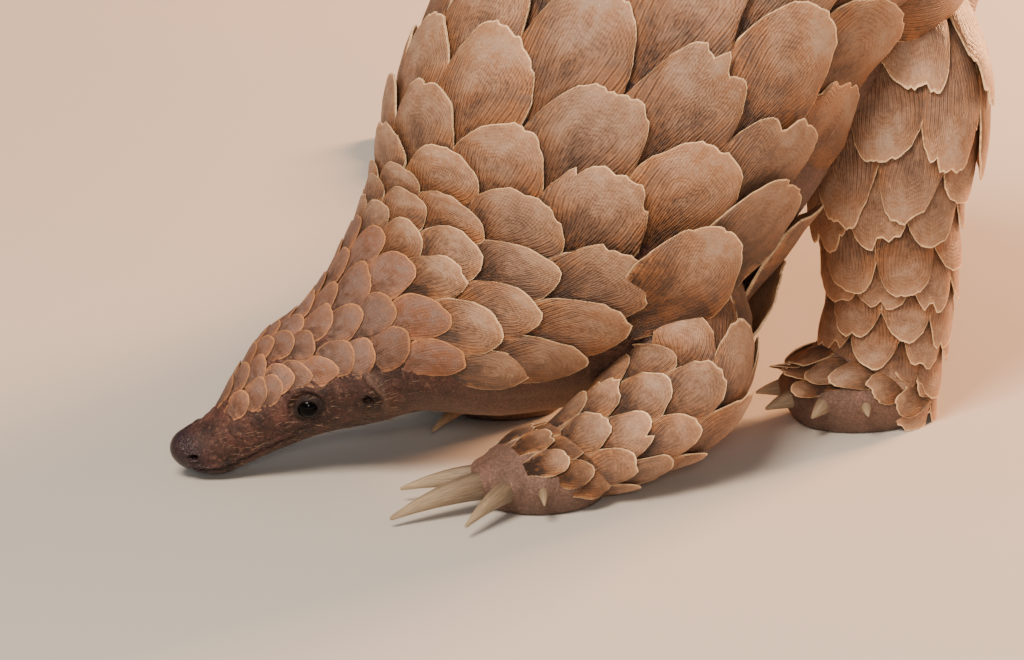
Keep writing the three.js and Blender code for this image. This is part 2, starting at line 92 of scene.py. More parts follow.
# Legs: which way they face, centre, half width and half depth from the trunk down, and the
# centre of the foot.
legLines = dict(
    foreleg_left=dict(
        out=(0.35, -0.9, 0.1),
        line=(
            (50, -28, 84, 34, 34),
            (58, -54, 60, 32, 32),
            (50, -66, 41, 28, 30),
            (26, -70, 28, 23, 25),
            (2, -66, 17, 19, 19),
        ),
        foot=(-10, -64, 12),
    ),
    foreleg_right=dict(
        out=(0.35, 0.9, 0.1),
        line=(
            (58, 26, 84, 34, 34),
            (76, 50, 60, 32, 32),
            (80, 62, 41, 28, 29),
            (68, 65, 28, 22, 24),
            (52, 60, 17, 19, 19),
        ),
        foot=(44, 58, 12),
    ),
    hindleg_left=dict(
        out=(0.5, -0.85, 0),
        line=(
            (180, 4, 178, 44, 48),
            (180, -28, 138, 37, 42),
            (174, -34, 98, 30, 33),
            (178, -32, 56, 26, 28),
            (174, -29, 20, 27, 27),
        ),
        foot=(167, -28, 14),
    ),
    hindleg_right=dict(
        out=(-0.5, 0.85, 0),
        line=(
            (148, 76, 176, 44, 48),
            (136, 100, 136, 37, 42),
            (134, 107, 96, 30, 34),
            (136, 106, 56, 26, 28),
            (128, 104, 20, 27, 27),
        ),
        foot=(121, 102, 14),
    ),
)
# Each kind: the foot's half length, half width and height, then each claw's bearing in degrees,
# length and radius; the scales' edge and steps as in a row above, the way their tips point, in
# radians from down the leg, how far past its end they go on, and how far off the trunk they start.
limbKinds = dict(
    foreleg=dict(
        foot=(30, 24, 19),
        claws=((62, 15, 3.2), (30, 38, 5.4), (0, 48, 6.6), (-30, 36, 5.2), (-62, 14, 3)),
        horn=(125, 56, 0.56),
        tips=math.pi,
        past=12.0,
        clear=1.0,
    ),
    hindleg=dict(
        foot=(36, 30, 23),
        claws=((64, 13, 4), (32, 17, 5), (0, 19, 5.4), (-32, 17, 5), (-64, 12, 3.8)),
        horn=(128, 50, 0.6),
        tips=0.0,
        past=-4.0,
        clear=-32.0,
    ),
)


def kindOf(name):
    return limbKinds[name.split("_")[0]]


def smoothStep(low, high, x):
    t = np.clip((x - low) / (high - low), 0, 1)
    return t * t * (3 - 2 * t)


def ridge(x, at, width):  # a soft crest of height 1 where x is at
    return np.exp(-(((x - at) / width) ** 2))


def unit(v):
    return v / np.maximum(np.linalg.norm(v, axis=-1, keepdims=True), 1e-9)


def hermite(places, rows, at):  # smooth curve through rows at uneven places
    low = np.r_[0, np.arange(len(places) - 1)]
    high = np.r_[np.arange(1, len(places)), len(places) - 1]
    slope = (rows[high] - rows[low]) / (places[high] - places[low])[:, None]
    k = np.clip(np.searchsorted(places, at) - 1, 0, len(places) - 2)
    h = (places[k + 1] - places[k])[:, None]
    t = ((at - places[k]) / (places[k + 1] - places[k]))[:, None]
    held = (2 * t**3 - 3 * t**2 + 1) * rows[k] + (-2 * t**3 + 3 * t**2) * rows[k + 1]
    return held + (t**3 - 2 * t**2 + t) * h * slope[k] + (t**3 - t**2) * h * slope[k + 1]


# A body or a limb as one swept form: columns are centre, half width, top, under, pitch, yaw,
# edge, step and pace of the scales.
class Sweep:
    def __init__(self, rows, out=None, samples=400):
        rows = np.array(rows, float)
        chord = np.r_[0, np.cumsum(np.linalg.norm(np.diff(rows[:, :3], axis=0), axis=1))]
        self.rows = hermite(chord, rows, np.linspace(0, chord[-1], samples))
        self.s = np.r_[0, np.cumsum(np.linalg.norm(np.diff(self.rows[:, :3], axis=0), axis=1))]
        self.length = self.s[-1]
        self.knots = self.s[np.round(chord / chord[-1] * (samples - 1)).astype(int)]
        if out is None:  # sections turned by the named angles
            pitch, yaw = np.radians(self.rows[:, 6]), np.radians(self.rows[:, 7])
            along = np.stack([np.cos(pitch) * np.cos(yaw), np.cos(pitch) * np.sin(yaw), np.sin(pitch)], 1)
            side = np.stack([np.sin(yaw), -np.cos(yaw), 0 * yaw], 1)
        else:  # sections square to the line, with their top facing out
            along = unit(np.gradient(self.rows[:, :3], axis=0))
            side = unit(np.cross(along, np.array(out, float)))
        self.frames = np.stack([along, side, np.cross(side, along)], 1)

    def at(self, s):
        s = np.asarray(s, float)
        place = np.clip(s, 0, self.length)
        i = np.clip(np.searchsorted(self.s, place, side="right") - 1, 0, len(self.s) - 2)
        t = (place - self.s[i]) / (self.s[i + 1] - self.s[i])
        row = self.rows[i] + (self.rows[i + 1] - self.rows[i]) * t[..., None]
        turned = self.frames[i] + (self.frames[i + 1] - self.frames[i]) * t[..., None, None]
        turned = unit(turned)
        row[..., :3] += turned[..., 0, :] * (s - place)[..., None]
        return row, turned

    def point(self, s, angle, lift=0.0, swell=1.0):
        row, turned = self.at(s)
        c, d = np.cos(angle), np.sin(angle)
        turnedAngle = np.degrees(np.abs(np.arctan2(d, c)))
        faded = np.clip((row[..., 8] + relief["fade"] - turnedAngle) / relief["fade"], 0, 1)
        off = lift - relief["share"] * row[..., 3] * faded
        height = np.where(c > 0, row[..., 4], row[..., 5])
        return (
            row[..., :3]
            + turned[..., 1, :] * ((row[..., 3] * swell + off) * d)[..., None]
            + turned[..., 2, :] * ((height * swell + off) * c)[..., None]
        )

    def normal(self, s, angle):  # from points 1 mm before and behind and 0.02 radians to each side
        across = self.point(s, angle + 0.02) - self.point(s, angle - 0.02)
        along = self.point(s + 1.0, angle) - self.point(s - 1.0, angle)
        return unit(np.cross(across, along))


body = Sweep([(*c, *size, *turn, *horn) for c, turn, size, horn in bodyLine.values()])
placeOf = {name: body.knots[i] for i, name in enumerate(bodyLine)}
legs = {}
for name, leg in legLines.items():
    horn = kindOf(name)["horn"]
    rows = [(x, y, z, wide, deep, deep, 0, 0, *horn) for x, y, z, wide, deep in leg["line"]]
    legs[name] = Sweep(rows, leg["out"], 200)

# The eye's place on the head ties the pose's zero to the frame; the head's own way is taken at 60 mm.
headAxis = 60.0
eye = dict(s=55.5, angle=102, radius=5.0, sunk=3.2, inset=0.05, grid=(48, 32))


def headPlace(s, angle, side):  # a point of the head with the ways across, along and out of the skin
    turn = np.radians(angle) * side
    normal = body.normal(s, turn)
    along = body.at(headAxis)[1][0]
    across = unit(np.cross(normal, along))
    return dict(point=body.point(s, turn), normal=normal, across=across, along=np.cross(across, normal))


eyePlace = headPlace(eye["s"], eye["angle"], 1)
eyeLow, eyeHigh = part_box("eye_left")
shift = np.array((eyeLow + eyeHigh) / 2) * 1000 - (eyePlace["point"] - eyePlace["normal"] * eye["sunk"])
print("shift of the pose in the frame", np.round(shift, 2))


def inFrame(points):  # metres in the frame, from millimetres of the pose
    return (np.asarray(points) + shift) * 0.001


def makeMesh(name, points, faces):
    mesh = bpy.data.meshes.new(name)
    mesh.from_pydata(inFrame(points).tolist(), [], faces)
    mesh.update()
    made = bpy.data.objects.new(name, mesh)
    bpy.context.scene.collection.objects.link(made)
    return made


def addLayer(made, name, rows):  # an attribute of the points, one number or three
    kind, field = ("FLOAT", "value") if np.ndim(rows) == 1 else ("FLOAT_VECTOR", "vector")
    layer = made.data.attributes.new(name, kind, "POINT")
    layer.data.foreach_set(field, np.asarray(rows, np.float32).ravel())


def applyModifiers(made):  # the evaluated mesh takes the place of the modifiers
    graph = bpy.context.evaluated_depsgraph_get()
    final = bpy.data.meshes.new_from_object(made.evaluated_get(graph))
    made.modifiers.clear()
    made.data = final
    final.name = made.name
    return made


def coordinates(made):
    co = np.zeros(len(made.data.vertices) * 3)
    made.data.vertices.foreach_get("co", co)
    return co.reshape(-1, 3)


def gridFaces(rows, columns, offset=0, closed=False, flip=False):
    count = columns if closed else columns - 1
    j, i = np.meshgrid(np.arange(rows - 1), np.arange(count), indexing="ij")
    a, b = j * columns + i, j * columns + (i + 1) % columns
    faces = np.stack([a, b, b + columns, a + columns], -1).reshape(-1, 4) + offset
    return (faces[:, ::-1] if flip else faces).tolist()


def closedForm(grid, ends, flip=False):  # rings of points, closed by a fan to a point at each end
    rows, around = grid.shape[:2]
    points = np.r_[grid.reshape(-1, 3), ends]
    faces = gridFaces(rows, around, closed=True, flip=flip)
    first, last = len(points) - 2, len(points) - 1
    for i in range(around):
        j = (i + 1) % around
        a, b = (j, i) if flip else (i, j)
        faces.append((first, b, a))
        faces.append((last, (rows - 1) * around + a, (rows - 1) * around + b))
    return points, faces


def ringGrid(s, around):  # places along a form and angles around it
    return np.meshgrid(s, np.linspace(0, 2 * np.pi, around, endpoint=False), indexing="ij")


# Materials: colours in sRGB hex, patterns sized in millimetres.
def linear(code):
    channels = [int(code[i : i + 2], 16) / 255 for i in (0, 2, 4)]
    return tuple(c / 12.92 if c <= 0.04045 else ((c + 0.055) / 1.055) ** 2.4 for c in channels) + (1.0,)


def startMaterial(name):
    material = bpy.data.materials.new(name)
    material.use_nodes = True
    material.node_tree.nodes.clear()
    return material


# Adds one node to a material or a node group and gives its output; an input is a socket or a value.
def addNode(owner, kind, inputs=None, out=0, ramp=None, **settings):
    tree = getattr(owner, "node_tree", owner)
    node = tree.nodes.new(kind if "Node" in kind else "ShaderNode" + kind)
    for key, value in settings.items():
        setattr(node, key, value)
    for key, value in (inputs or {}).items():
        if isinstance(value, bpy.types.NodeSocket):
            tree.links.new(value, node.inputs[key])
        else:
            node.inputs[key].default_value = value
    if ramp:
        elements = node.color_ramp.elements
        while len(elements) < len(ramp):
            elements.new(0.5)
        for element, (place, color) in zip(elements, ramp):
            element.position = place
            element.color = linear(color) if isinstance(color, str) else (color, color, color, 1)
    return node.outputs[out] if len(node.outputs) else node


# Keratin plates of the pangolin: grown horn, scored lengthwise by its growth and across by its
# growth lines, the grooves deep and painted darker, as painted shade, where they are sheltered from
# wear; darker toward the root with painted shade from the scale lying over it, rubbed grey in the
# middle and pale along the free edge, thin paler horn with a painted highlight on it.
# The real lines are finer than a pixel in places, so they are drawn just as coarse as shows:
# 39 over the width of a scale, and growth lines 0.75 mm apart and wider on the longer scales.
hornLook = dict(
    # shade and root darken toward the root: partly the horn's own browner root, partly painted shade from
    # the scale lying over it
    shade="402b20",
    root="634634",
    brown="87644d",
    tan="a87d5d",
    worn="a68c77",
    ochre="a76b3c",
    rim="c18757",
    # the pale free edge: the thin horn's own paler rim with a painted highlight of the lit edge
    edge="f4d0a2",
    lines=39,
    growthMm=0.75,
    growthSpread=0.02,
    depth=1.0,
    flank=0.6,
    band=32.0,
    # how much the grooves are painted darker: painted shade in them
    scoring=0.36,
    streaks=0.18,
    scratches=0.36,
    relief=0.19,
    roughness=0.46,
)


def makeHorn(name, look):
    m = startMaterial(name)
    horn = addNode(m, "Attribute", attribute_name="horn", out="Vector")
    shape = addNode(m, "Attribute", attribute_name="shape", out="Vector")
    seed = addNode(m, "Attribute", attribute_name="seed", out="Fac")
    across, along, rim = (addNode(m, "SeparateXYZ", {0: horn}, out=axis) for axis in "XYZ")
    side, up, tone = (addNode(m, "SeparateXYZ", {0: shape}, out=axis) for axis in "XYZ")
    own = addNode(m, "Math", {0: seed, 1: 37.0}, operation="MULTIPLY")
    spot = addNode(m, "CombineXYZ", {0: across, 1: along, 2: own})
    # clouds of wear about 12 mm across, blotches of 3 mm, drift of the lines, specks under 1 mm
    clouds = addNode(m, "TexNoise", {"Vector": spot, "Scale": 0.08, "Detail": 4.0, "Roughness": 0.6})
    drift = addNode(m, "TexNoise", {"Vector": spot, "Scale": 0.09, "Detail": 2.0})
    mottle = addNode(m, "TexNoise", {"Vector": spot, "Scale": 0.32, "Detail": 4.0, "Roughness": 0.7})
    speck = addNode(m, "TexNoise", {"Vector": spot, "Scale": 1.5, "Detail": 5.0, "Roughness": 0.7})
    drawnOut = addNode(m, "VectorMath", {0: spot, 1: (1.3, 0.11, 1.0)}, operation="MULTIPLY")
    fine = addNode(m, "TexNoise", {"Vector": drawnOut, "Scale": 1.0, "Detail": 4.0, "Roughness": 0.65})
    scored = addNode(m, "VectorMath", {0: spot, 1: (0.35, 1.3, 1.0)}, operation="MULTIPLY")
    scratch = addNode(m, "TexNoise", {"Vector": scored, "Scale": 1.0, "Detail": 3.0, "Distortion": 1.8})
    # lengthwise lines, and growth lines that run beside the free edge
    phase = addNode(m, "Math", {0: side, 1: math.pi * look["lines"]}, operation="MULTIPLY")
    reach = addNode(m, "Math", {0: up, 1: 0.1}, operation="MAXIMUM")
    length = addNode(m, "Math", {0: along, 1: reach}, operation="DIVIDE")
    widening = {0: length, 1: look["growthSpread"], 2: look["growthMm"]}
    spacing = addNode(m, "Math", widening, operation="MULTIPLY_ADD")
    count = addNode(m, "Math", {0: rim, 1: spacing}, operation="DIVIDE")
    turns = addNode(m, "Math", {0: count, 1: 2 * math.pi}, operation="MULTIPLY")
    grooves = []
    for turning, sway, depths in (
        (phase, 1.8, ((0.0, 1.0), (0.32, 0.55), (0.66, 0.0))),
        (turns, 4.0, ((0.0, 0.95), (0.3, 0.35), (0.6, 0.0))),
    ):
        swung = addNode(m, "Math", {0: drift, 1: sway, 2: turning}, operation="MULTIPLY_ADD")
        wave = addNode(m, "Math", {0: swung}, operation="SINE")
        crest = addNode(m, "Math", {0: wave, 1: 0.5, 2: 0.5}, operation="MULTIPLY_ADD")
        grooves.append(addNode(m, "ValToRGB", {0: crest}, ramp=depths))
    # both are deep near the root and the sides and rubbed away in the middle
    place = addNode(m, "Math", {0: clouds, 1: 0.8, 2: up}, operation="MULTIPLY_ADD")
    part = addNode(m, "Math", {0: place, 1: 0.6}, operation="MULTIPLY")
    sheltered = addNode(m, "ValToRGB", {0: part}, ramp=((0.46, 1.0), (0.64, 0.68), (0.82, 0.1)))
    aside = addNode(m, "Math", {0: side}, operation="ABSOLUTE")
    flank = addNode(m, "Math", {0: aside, 1: 2.2}, operation="POWER")
    kept = {0: flank, 1: look["flank"], 2: sheltered}
    sheltering = addNode(m, "Math", kept, operation="MULTIPLY_ADD", use_clamp=True)
    deep = addNode(m, "Math", {0: sheltering, 1: look["depth"]}, operation="MULTIPLY")
    # colour from the root out, darker toward the root as painted shade from the scale lying over it,
    # with ochre flanks and a grey rubbed middle
    shifted = addNode(m, "Math", {0: clouds, 1: 0.55, 2: -0.3}, operation="MULTIPLY_ADD")
    grown = addNode(m, "Math", {0: up, 1: shifted}, operation="ADD")
    layers = ((0.24, look["shade"]), (0.42, look["root"]), (0.62, look["brown"]), (0.94, look["tan"]))
    color = addNode(m, "ValToRGB", {0: grown}, ramp=layers)
    spots = addNode(m, "Math", {0: mottle, 1: drift}, operation="ADD")
    blotch = addNode(m, "Math", {0: spots, 1: 0.5}, operation="MULTIPLY")
    # some scales are redder than their neighbours
    hue = addNode(m, "Math", {0: seed, 1: 0.12, 2: -0.06}, operation="MULTIPLY_ADD")
    redder = addNode(m, "Math", {0: blotch, 1: hue}, operation="ADD")
    warmth = addNode(m, "ValToRGB", {0: redder}, ramp=((0.43, 0.0), (0.6, 1.0)))
    ochre = addNode(m, "Math", {0: flank, 1: 0.45, 2: 0.4}, operation="MULTIPLY_ADD")
    warmed = addNode(m, "Math", {0: warmth, 1: ochre}, operation="MULTIPLY")
    spots = addNode(m, "Math", {0: mottle, 1: clouds}, operation="ADD")
    patchy = addNode(m, "Math", {0: spots, 1: 0.5}, operation="MULTIPLY")
    grey = addNode(m, "ValToRGB", {0: patchy}, ramp=((0.42, 0.05), (0.58, 0.95)))
    rubbed = addNode(m, "Math", {0: 1.0, 1: deep}, operation="SUBTRACT")
    greyed = addNode(m, "Math", {0: rubbed, 1: grey}, operation="MULTIPLY")
    # a warm band within a few millimetres of the edge, and the thin pale edge itself: paler thin horn
    # with a painted highlight on it
    irregular = {0: patchy, 1: look["band"], 2: -0.42 * look["band"]}
    band = addNode(m, "Math", irregular, operation="MULTIPLY_ADD")
    band = addNode(m, "Math", {0: band, 1: 0.6}, operation="MAXIMUM")
    inBand = addNode(m, "Math", {0: rim, 1: band}, operation="DIVIDE")
    near = addNode(m, "ValToRGB", {0: inBand}, ramp=((0.0, 0.6), (0.95, 0.0)))
    lip = addNode(m, "Math", {0: speck, 1: 1.5, 2: 0.1}, operation="MULTIPLY_ADD")
    inLip = addNode(m, "Math", {0: rim, 1: lip}, operation="DIVIDE")
    pale = addNode(m, "ValToRGB", {0: inLip}, ramp=((0.3, 0.9), (1.0, 0.0)))
    for share, paint in ((warmed, "ochre"), (greyed, "worn"), (near, "rim"), (pale, "edge")):
        mixed = {0: share, 6: color, 7: linear(look[paint])}
        color = addNode(m, "Mix", mixed, out=2, data_type="RGBA")
    # light and dark of the scoring, the grooves painted darker as painted shade besides their bump,
    # the streaks, the scratches, each scale's own tone and the grain
    scoring = addNode(m, "Math", {0: grooves[0], 1: grooves[1]}, operation="ADD")
    scoring = addNode(m, "Math", {0: scoring, 1: deep}, operation="MULTIPLY")
    dark = addNode(m, "Math", {0: scoring, 1: -look["scoring"], 2: 1.06}, operation="MULTIPLY_ADD")
    streak = addNode(m, "ValToRGB", {0: fine}, ramp=((0.35, 0.0), (0.56, 0.3), (0.78, 1.0)))
    light = addNode(m, "Math", {0: streak, 1: look["streaks"], 2: dark}, operation="MULTIPLY_ADD")
    mark = addNode(m, "ValToRGB", {0: scratch}, ramp=((0.58, 0.0), (0.68, 1.0)))
    lighter = addNode(m, "Math", {0: mark, 1: look["scratches"], 2: light}, operation="MULTIPLY_ADD")
    toned = addNode(m, "Math", {0: lighter, 1: tone}, operation="MULTIPLY")
    grain = addNode(m, "Math", {0: speck, 1: 0.95, 2: 0.42}, operation="MULTIPLY_ADD")
    grained = addNode(m, "Math", {0: toned, 1: grain}, operation="MULTIPLY")
    tint = addNode(m, "CombineColor", {0: grained, 1: grained, 2: grained})
    tinted = {0: 1.0, 6: color, 7: tint}
    color = addNode(m, "Mix", tinted, out=2, data_type="RGBA", blend_type="MULTIPLY")
    raised = addNode(m, "Math", {0: scoring, 1: -look["relief"]}, operation="MULTIPLY")
    rubs = addNode(m, "Math", {0: speck, 1: fine}, operation="ADD")
    height = addNode(m, "Math", {0: rubs, 1: 0.24, 2: raised}, operation="MULTIPLY_ADD")
    bump = addNode(m, "Bump", {"Height": height, "Strength": 0.85, "Distance": 0.0012})
    rougher = {0: speck, 1: 0.3, 2: look["roughness"] - 0.12}
    rough = addNode(m, "Math", rougher, operation="MULTIPLY_ADD")
    surface = {"Base Color": color, "Roughness": rough, "Normal": bump}
    bsdf = addNode(m, "BsdfPrincipled", surface | {"IOR": 1.54, "Specular IOR Level": 0.42})
    addNode(m, "OutputMaterial", {"Surface": bsdf})
    return m


scaleHorn = makeHorn("keratin_scale_weathered", hornLook)

# The same horn on the head: smoother and darker small scales with a warm narrow rim.
headLook = dict(
    hornLook,
    # as on the body, shade and root are partly painted shade toward each root, and edge carries a painted
    # highlight
    shade="4c3427",
    root="5c3e2e",
    brown="74503d",
    tan="835c47",
    worn="78635b",
    ochre="985a32",
    rim="a7683a",
    edge="b98558",
    lines=15,
    growthMm=0.5,
    depth=0.3,
    band=26.0,
)
smallHorn = makeHorn("keratin_scale_head", headLook)

# Bare skin of the face, throat and belly: thick wrinkled hide, purple brown and moist on the nose,
# with painted shade in the pits, the mouth groove and the creases of the wrinkles.
skinLook = dict(
    face="442922",
    # deep: the darkest mottling of the hide, and painted shade in the pits and grooves of the face
    deep="1e1110",
    belly="8d7061",
    nose="2f1c21",
    ear="6b4339",
    fleck="986f5c",
    foldMm=1.5,
    poreMm=1.2,
)


def makeSkin():
    m = startMaterial("hide_wrinkled_bare")
    place = addNode(m, "TexCoord", out="Object")
    masks = addNode(m, "Attribute", attribute_name="masks", out="Vector")
    nose, dark, pale = (addNode(m, "SeparateXYZ", {0: masks}, out=axis) for axis in "XYZ")
    cells = {"Vector": place, "Scale": 1000 / skinLook["foldMm"]}
    folds = addNode(m, "TexVoronoi", cells, out="Distance", feature="DISTANCE_TO_EDGE")
    porous = {"Vector": place, "Scale": 1000 / skinLook["poreMm"], "Detail": 5.0, "Roughness": 0.65}
    pores = addNode(m, "TexNoise", porous)
    clouds = addNode(m, "TexNoise", {"Vector": place, "Scale": 90.0, "Detail": 4.0, "Roughness": 0.6})
    flecks = addNode(m, "TexNoise", {"Vector": place, "Scale": 420.0, "Detail": 3.0, "Roughness": 0.7})
    layers = ((0.3, skinLook["deep"]), (0.52, skinLook["face"]), (0.72, skinLook["ear"]))
    color = addNode(m, "ValToRGB", {0: clouds}, ramp=layers)
    spots = addNode(m, "ValToRGB", {0: flecks}, ramp=((0.54, 0.0), (0.74, 0.5)))
    # deep over the dark mask is painted shade in pits and grooves, with the lids' dark skin
    for share, paint in ((spots, "fleck"), (pale, "belly"), (nose, "nose"), (dark, "deep")):
        mixed = {0: share, 6: color, 7: linear(skinLook[paint])}
        color = addNode(m, "Mix", mixed, out=2, data_type="RGBA")
    # the creases of the wrinkles painted darker: painted shade in them, besides their bump
    crease = addNode(m, "ValToRGB", {0: folds}, ramp=((0.0, 0.66), (0.14, 1.0)))
    mottled = addNode(m, "ValToRGB", {0: pores}, ramp=((0.35, 0.72), (0.7, 1.25)))
    for tint in (crease, mottled):
        tinted = {0: 1.0, 6: color, 7: tint}
        color = addNode(m, "Mix", tinted, out=2, data_type="RGBA", blend_type="MULTIPLY")
    height = addNode(m, "Math", {0: crease, 1: 0.5, 2: pores}, operation="MULTIPLY_ADD")
    bump = addNode(m, "Bump", {"Height": height, "Strength": 0.7, "Distance": 0.0009})
    rough = addNode(m, "MapRange", {"Value": nose, "To Min": 0.6, "To Max": 0.24})
    surface = {"Base Color": color, "Roughness": rough, "Normal": bump, "IOR": 1.42}
    bsdf = addNode(m, "BsdfPrincipled", surface | {"Subsurface Weight": 0.06, "Subsurface Scale": 0.002})
    addNode(m, "OutputMaterial", {"Surface": bsdf})
    return m


skinHide = makeSkin()

# Claws: dense grown horn, dark at the root and pale at the rubbed tip, grooved lengthwise.
clawLook = dict(root="4a382c", tip="b9a283", grooveMm=1.0)


def makeClawHorn():
    m = startMaterial("claw_horn_rubbed")
    horn = addNode(m, "Attribute", attribute_name="horn", out="Vector")
    share = addNode(m, "SeparateXYZ", {0: horn}, out="Z")
    spot = addNode(m, "VectorMath", {0: horn, 1: (1.0, 0.06, 0.0)}, operation="MULTIPLY")
    grain = addNode(m, "TexNoise", {"Vector": spot, "Scale": 2.2 / clawLook["grooveMm"], "Detail": 4.0})
    color = addNode(m, "ValToRGB", {0: share}, ramp=((0.0, clawLook["root"]), (0.9, clawLook["tip"])))
    streak = addNode(m, "ValToRGB", {0: grain}, ramp=((0.35, 0.62), (0.65, 1.12)))
    color = addNode(m, "Mix", {0: 1.0, 6: color, 7: streak}, out=2, data_type="RGBA", blend_type="MULTIPLY")
    bump = addNode(m, "Bump", {"Height": grain, "Strength": 0.7, "Distance": 0.0008})
    rough = addNode(m, "MapRange", {"Value": grain, "To Min": 0.3, "To Max": 0.55})
    surface = {"Base Color": color, "Roughness": rough, "Normal": bump, "IOR": 1.54}
    addNode(m, "OutputMaterial", {"Surface": addNode(m, "BsdfPrincipled", surface)})
    return m


clawHorn = makeClawHorn()


# Polished glass eye: nearly black all through, so the eye sees little but a small wet glint.
def makeEyeGlass():
    m = startMaterial("glass_eye_dark")
    ring = addNode(m, "Attribute", attribute_name="iris", out="Fac")
    layers = ((0.0, "020202"), (0.5, "030203"), (0.6, "0b0706"), (0.85, "080505"), (1.0, "1a1413"))
    color = addNode(m, "ValToRGB", {0: ring}, ramp=layers)
    place = addNode(m, "TexCoord", out="Object")
    veins = addNode(m, "TexNoise", {"Vector": place, "Scale": 900.0, "Detail": 3.0})
    rough = addNode(m, "MapRange", {"Value": veins, "To Min": 0.04, "To Max": 0.09})
    surface = {"Base Color": color, "Roughness": rough, "IOR": 1.38, "Specular IOR Level": 0.17}
    addNode(m, "OutputMaterial", {"Surface": addNode(m, "BsdfPrincipled", surface)})
    return m


eyeGlass = makeEyeGlass()
print("materials made")

# Skin of head, trunk and tail in one grid, dense where the face is: degrees from the top and the
# step between columns, and millimetres from ring to ring.
skin = dict(
    columns=((0, 66, 3.0), (66, 138, 1.0), (138, 180, 3.0)),
    fineTo=97,
    fine=0.6,
    coarse=7.0,
    inside=0.35,
    insideFoot=0.5,
    noseFrom=-3.6,
    noseRound=6.0,
    noseRings=(0.02, 0.12, 0.35, 0.7, 1.1, 1.55, 2.05, 2.6, 3.1),
    tailRound=8,
    tailRings=(2.0, 3.6, 4.6, 5.0),
    lowest=0.4,
    limbVoxel=2.0,
    limbPale=0.5,
    blend=11.0,
    smoothing=14,
    smoothBy=0.6,
)
eyelids = dict(half=(3.8, 3.75), lift=0.2, rim=1.0, upper=0.25, socket=7.5)
brows = dict(crest=0.5, crease=1.3, hollow=0.9)
ear = dict(s=79, angle=110, half=(1.8, 2.6), ahead=1.5, flap=2.6, valley=1.3, rim=0.9, deep=5.0)
mouth = dict(start=3, end=46, angle=128, lips=0.8, deep=1.3)
nostril = dict(s=4.2, angle=92, half=(1.5, 1.1), slant=0.25, rim=0.5, deep=2.6)


# How far each point lies behind, above and out from a feature of the head, in millimetres.
def featureField(points, feature, side):
    place = headPlace(feature["s"], feature["angle"], side)
    d = points - place["point"]
    return d @ place["along"], d @ place["across"] * side, np.abs(d @ place["normal"])


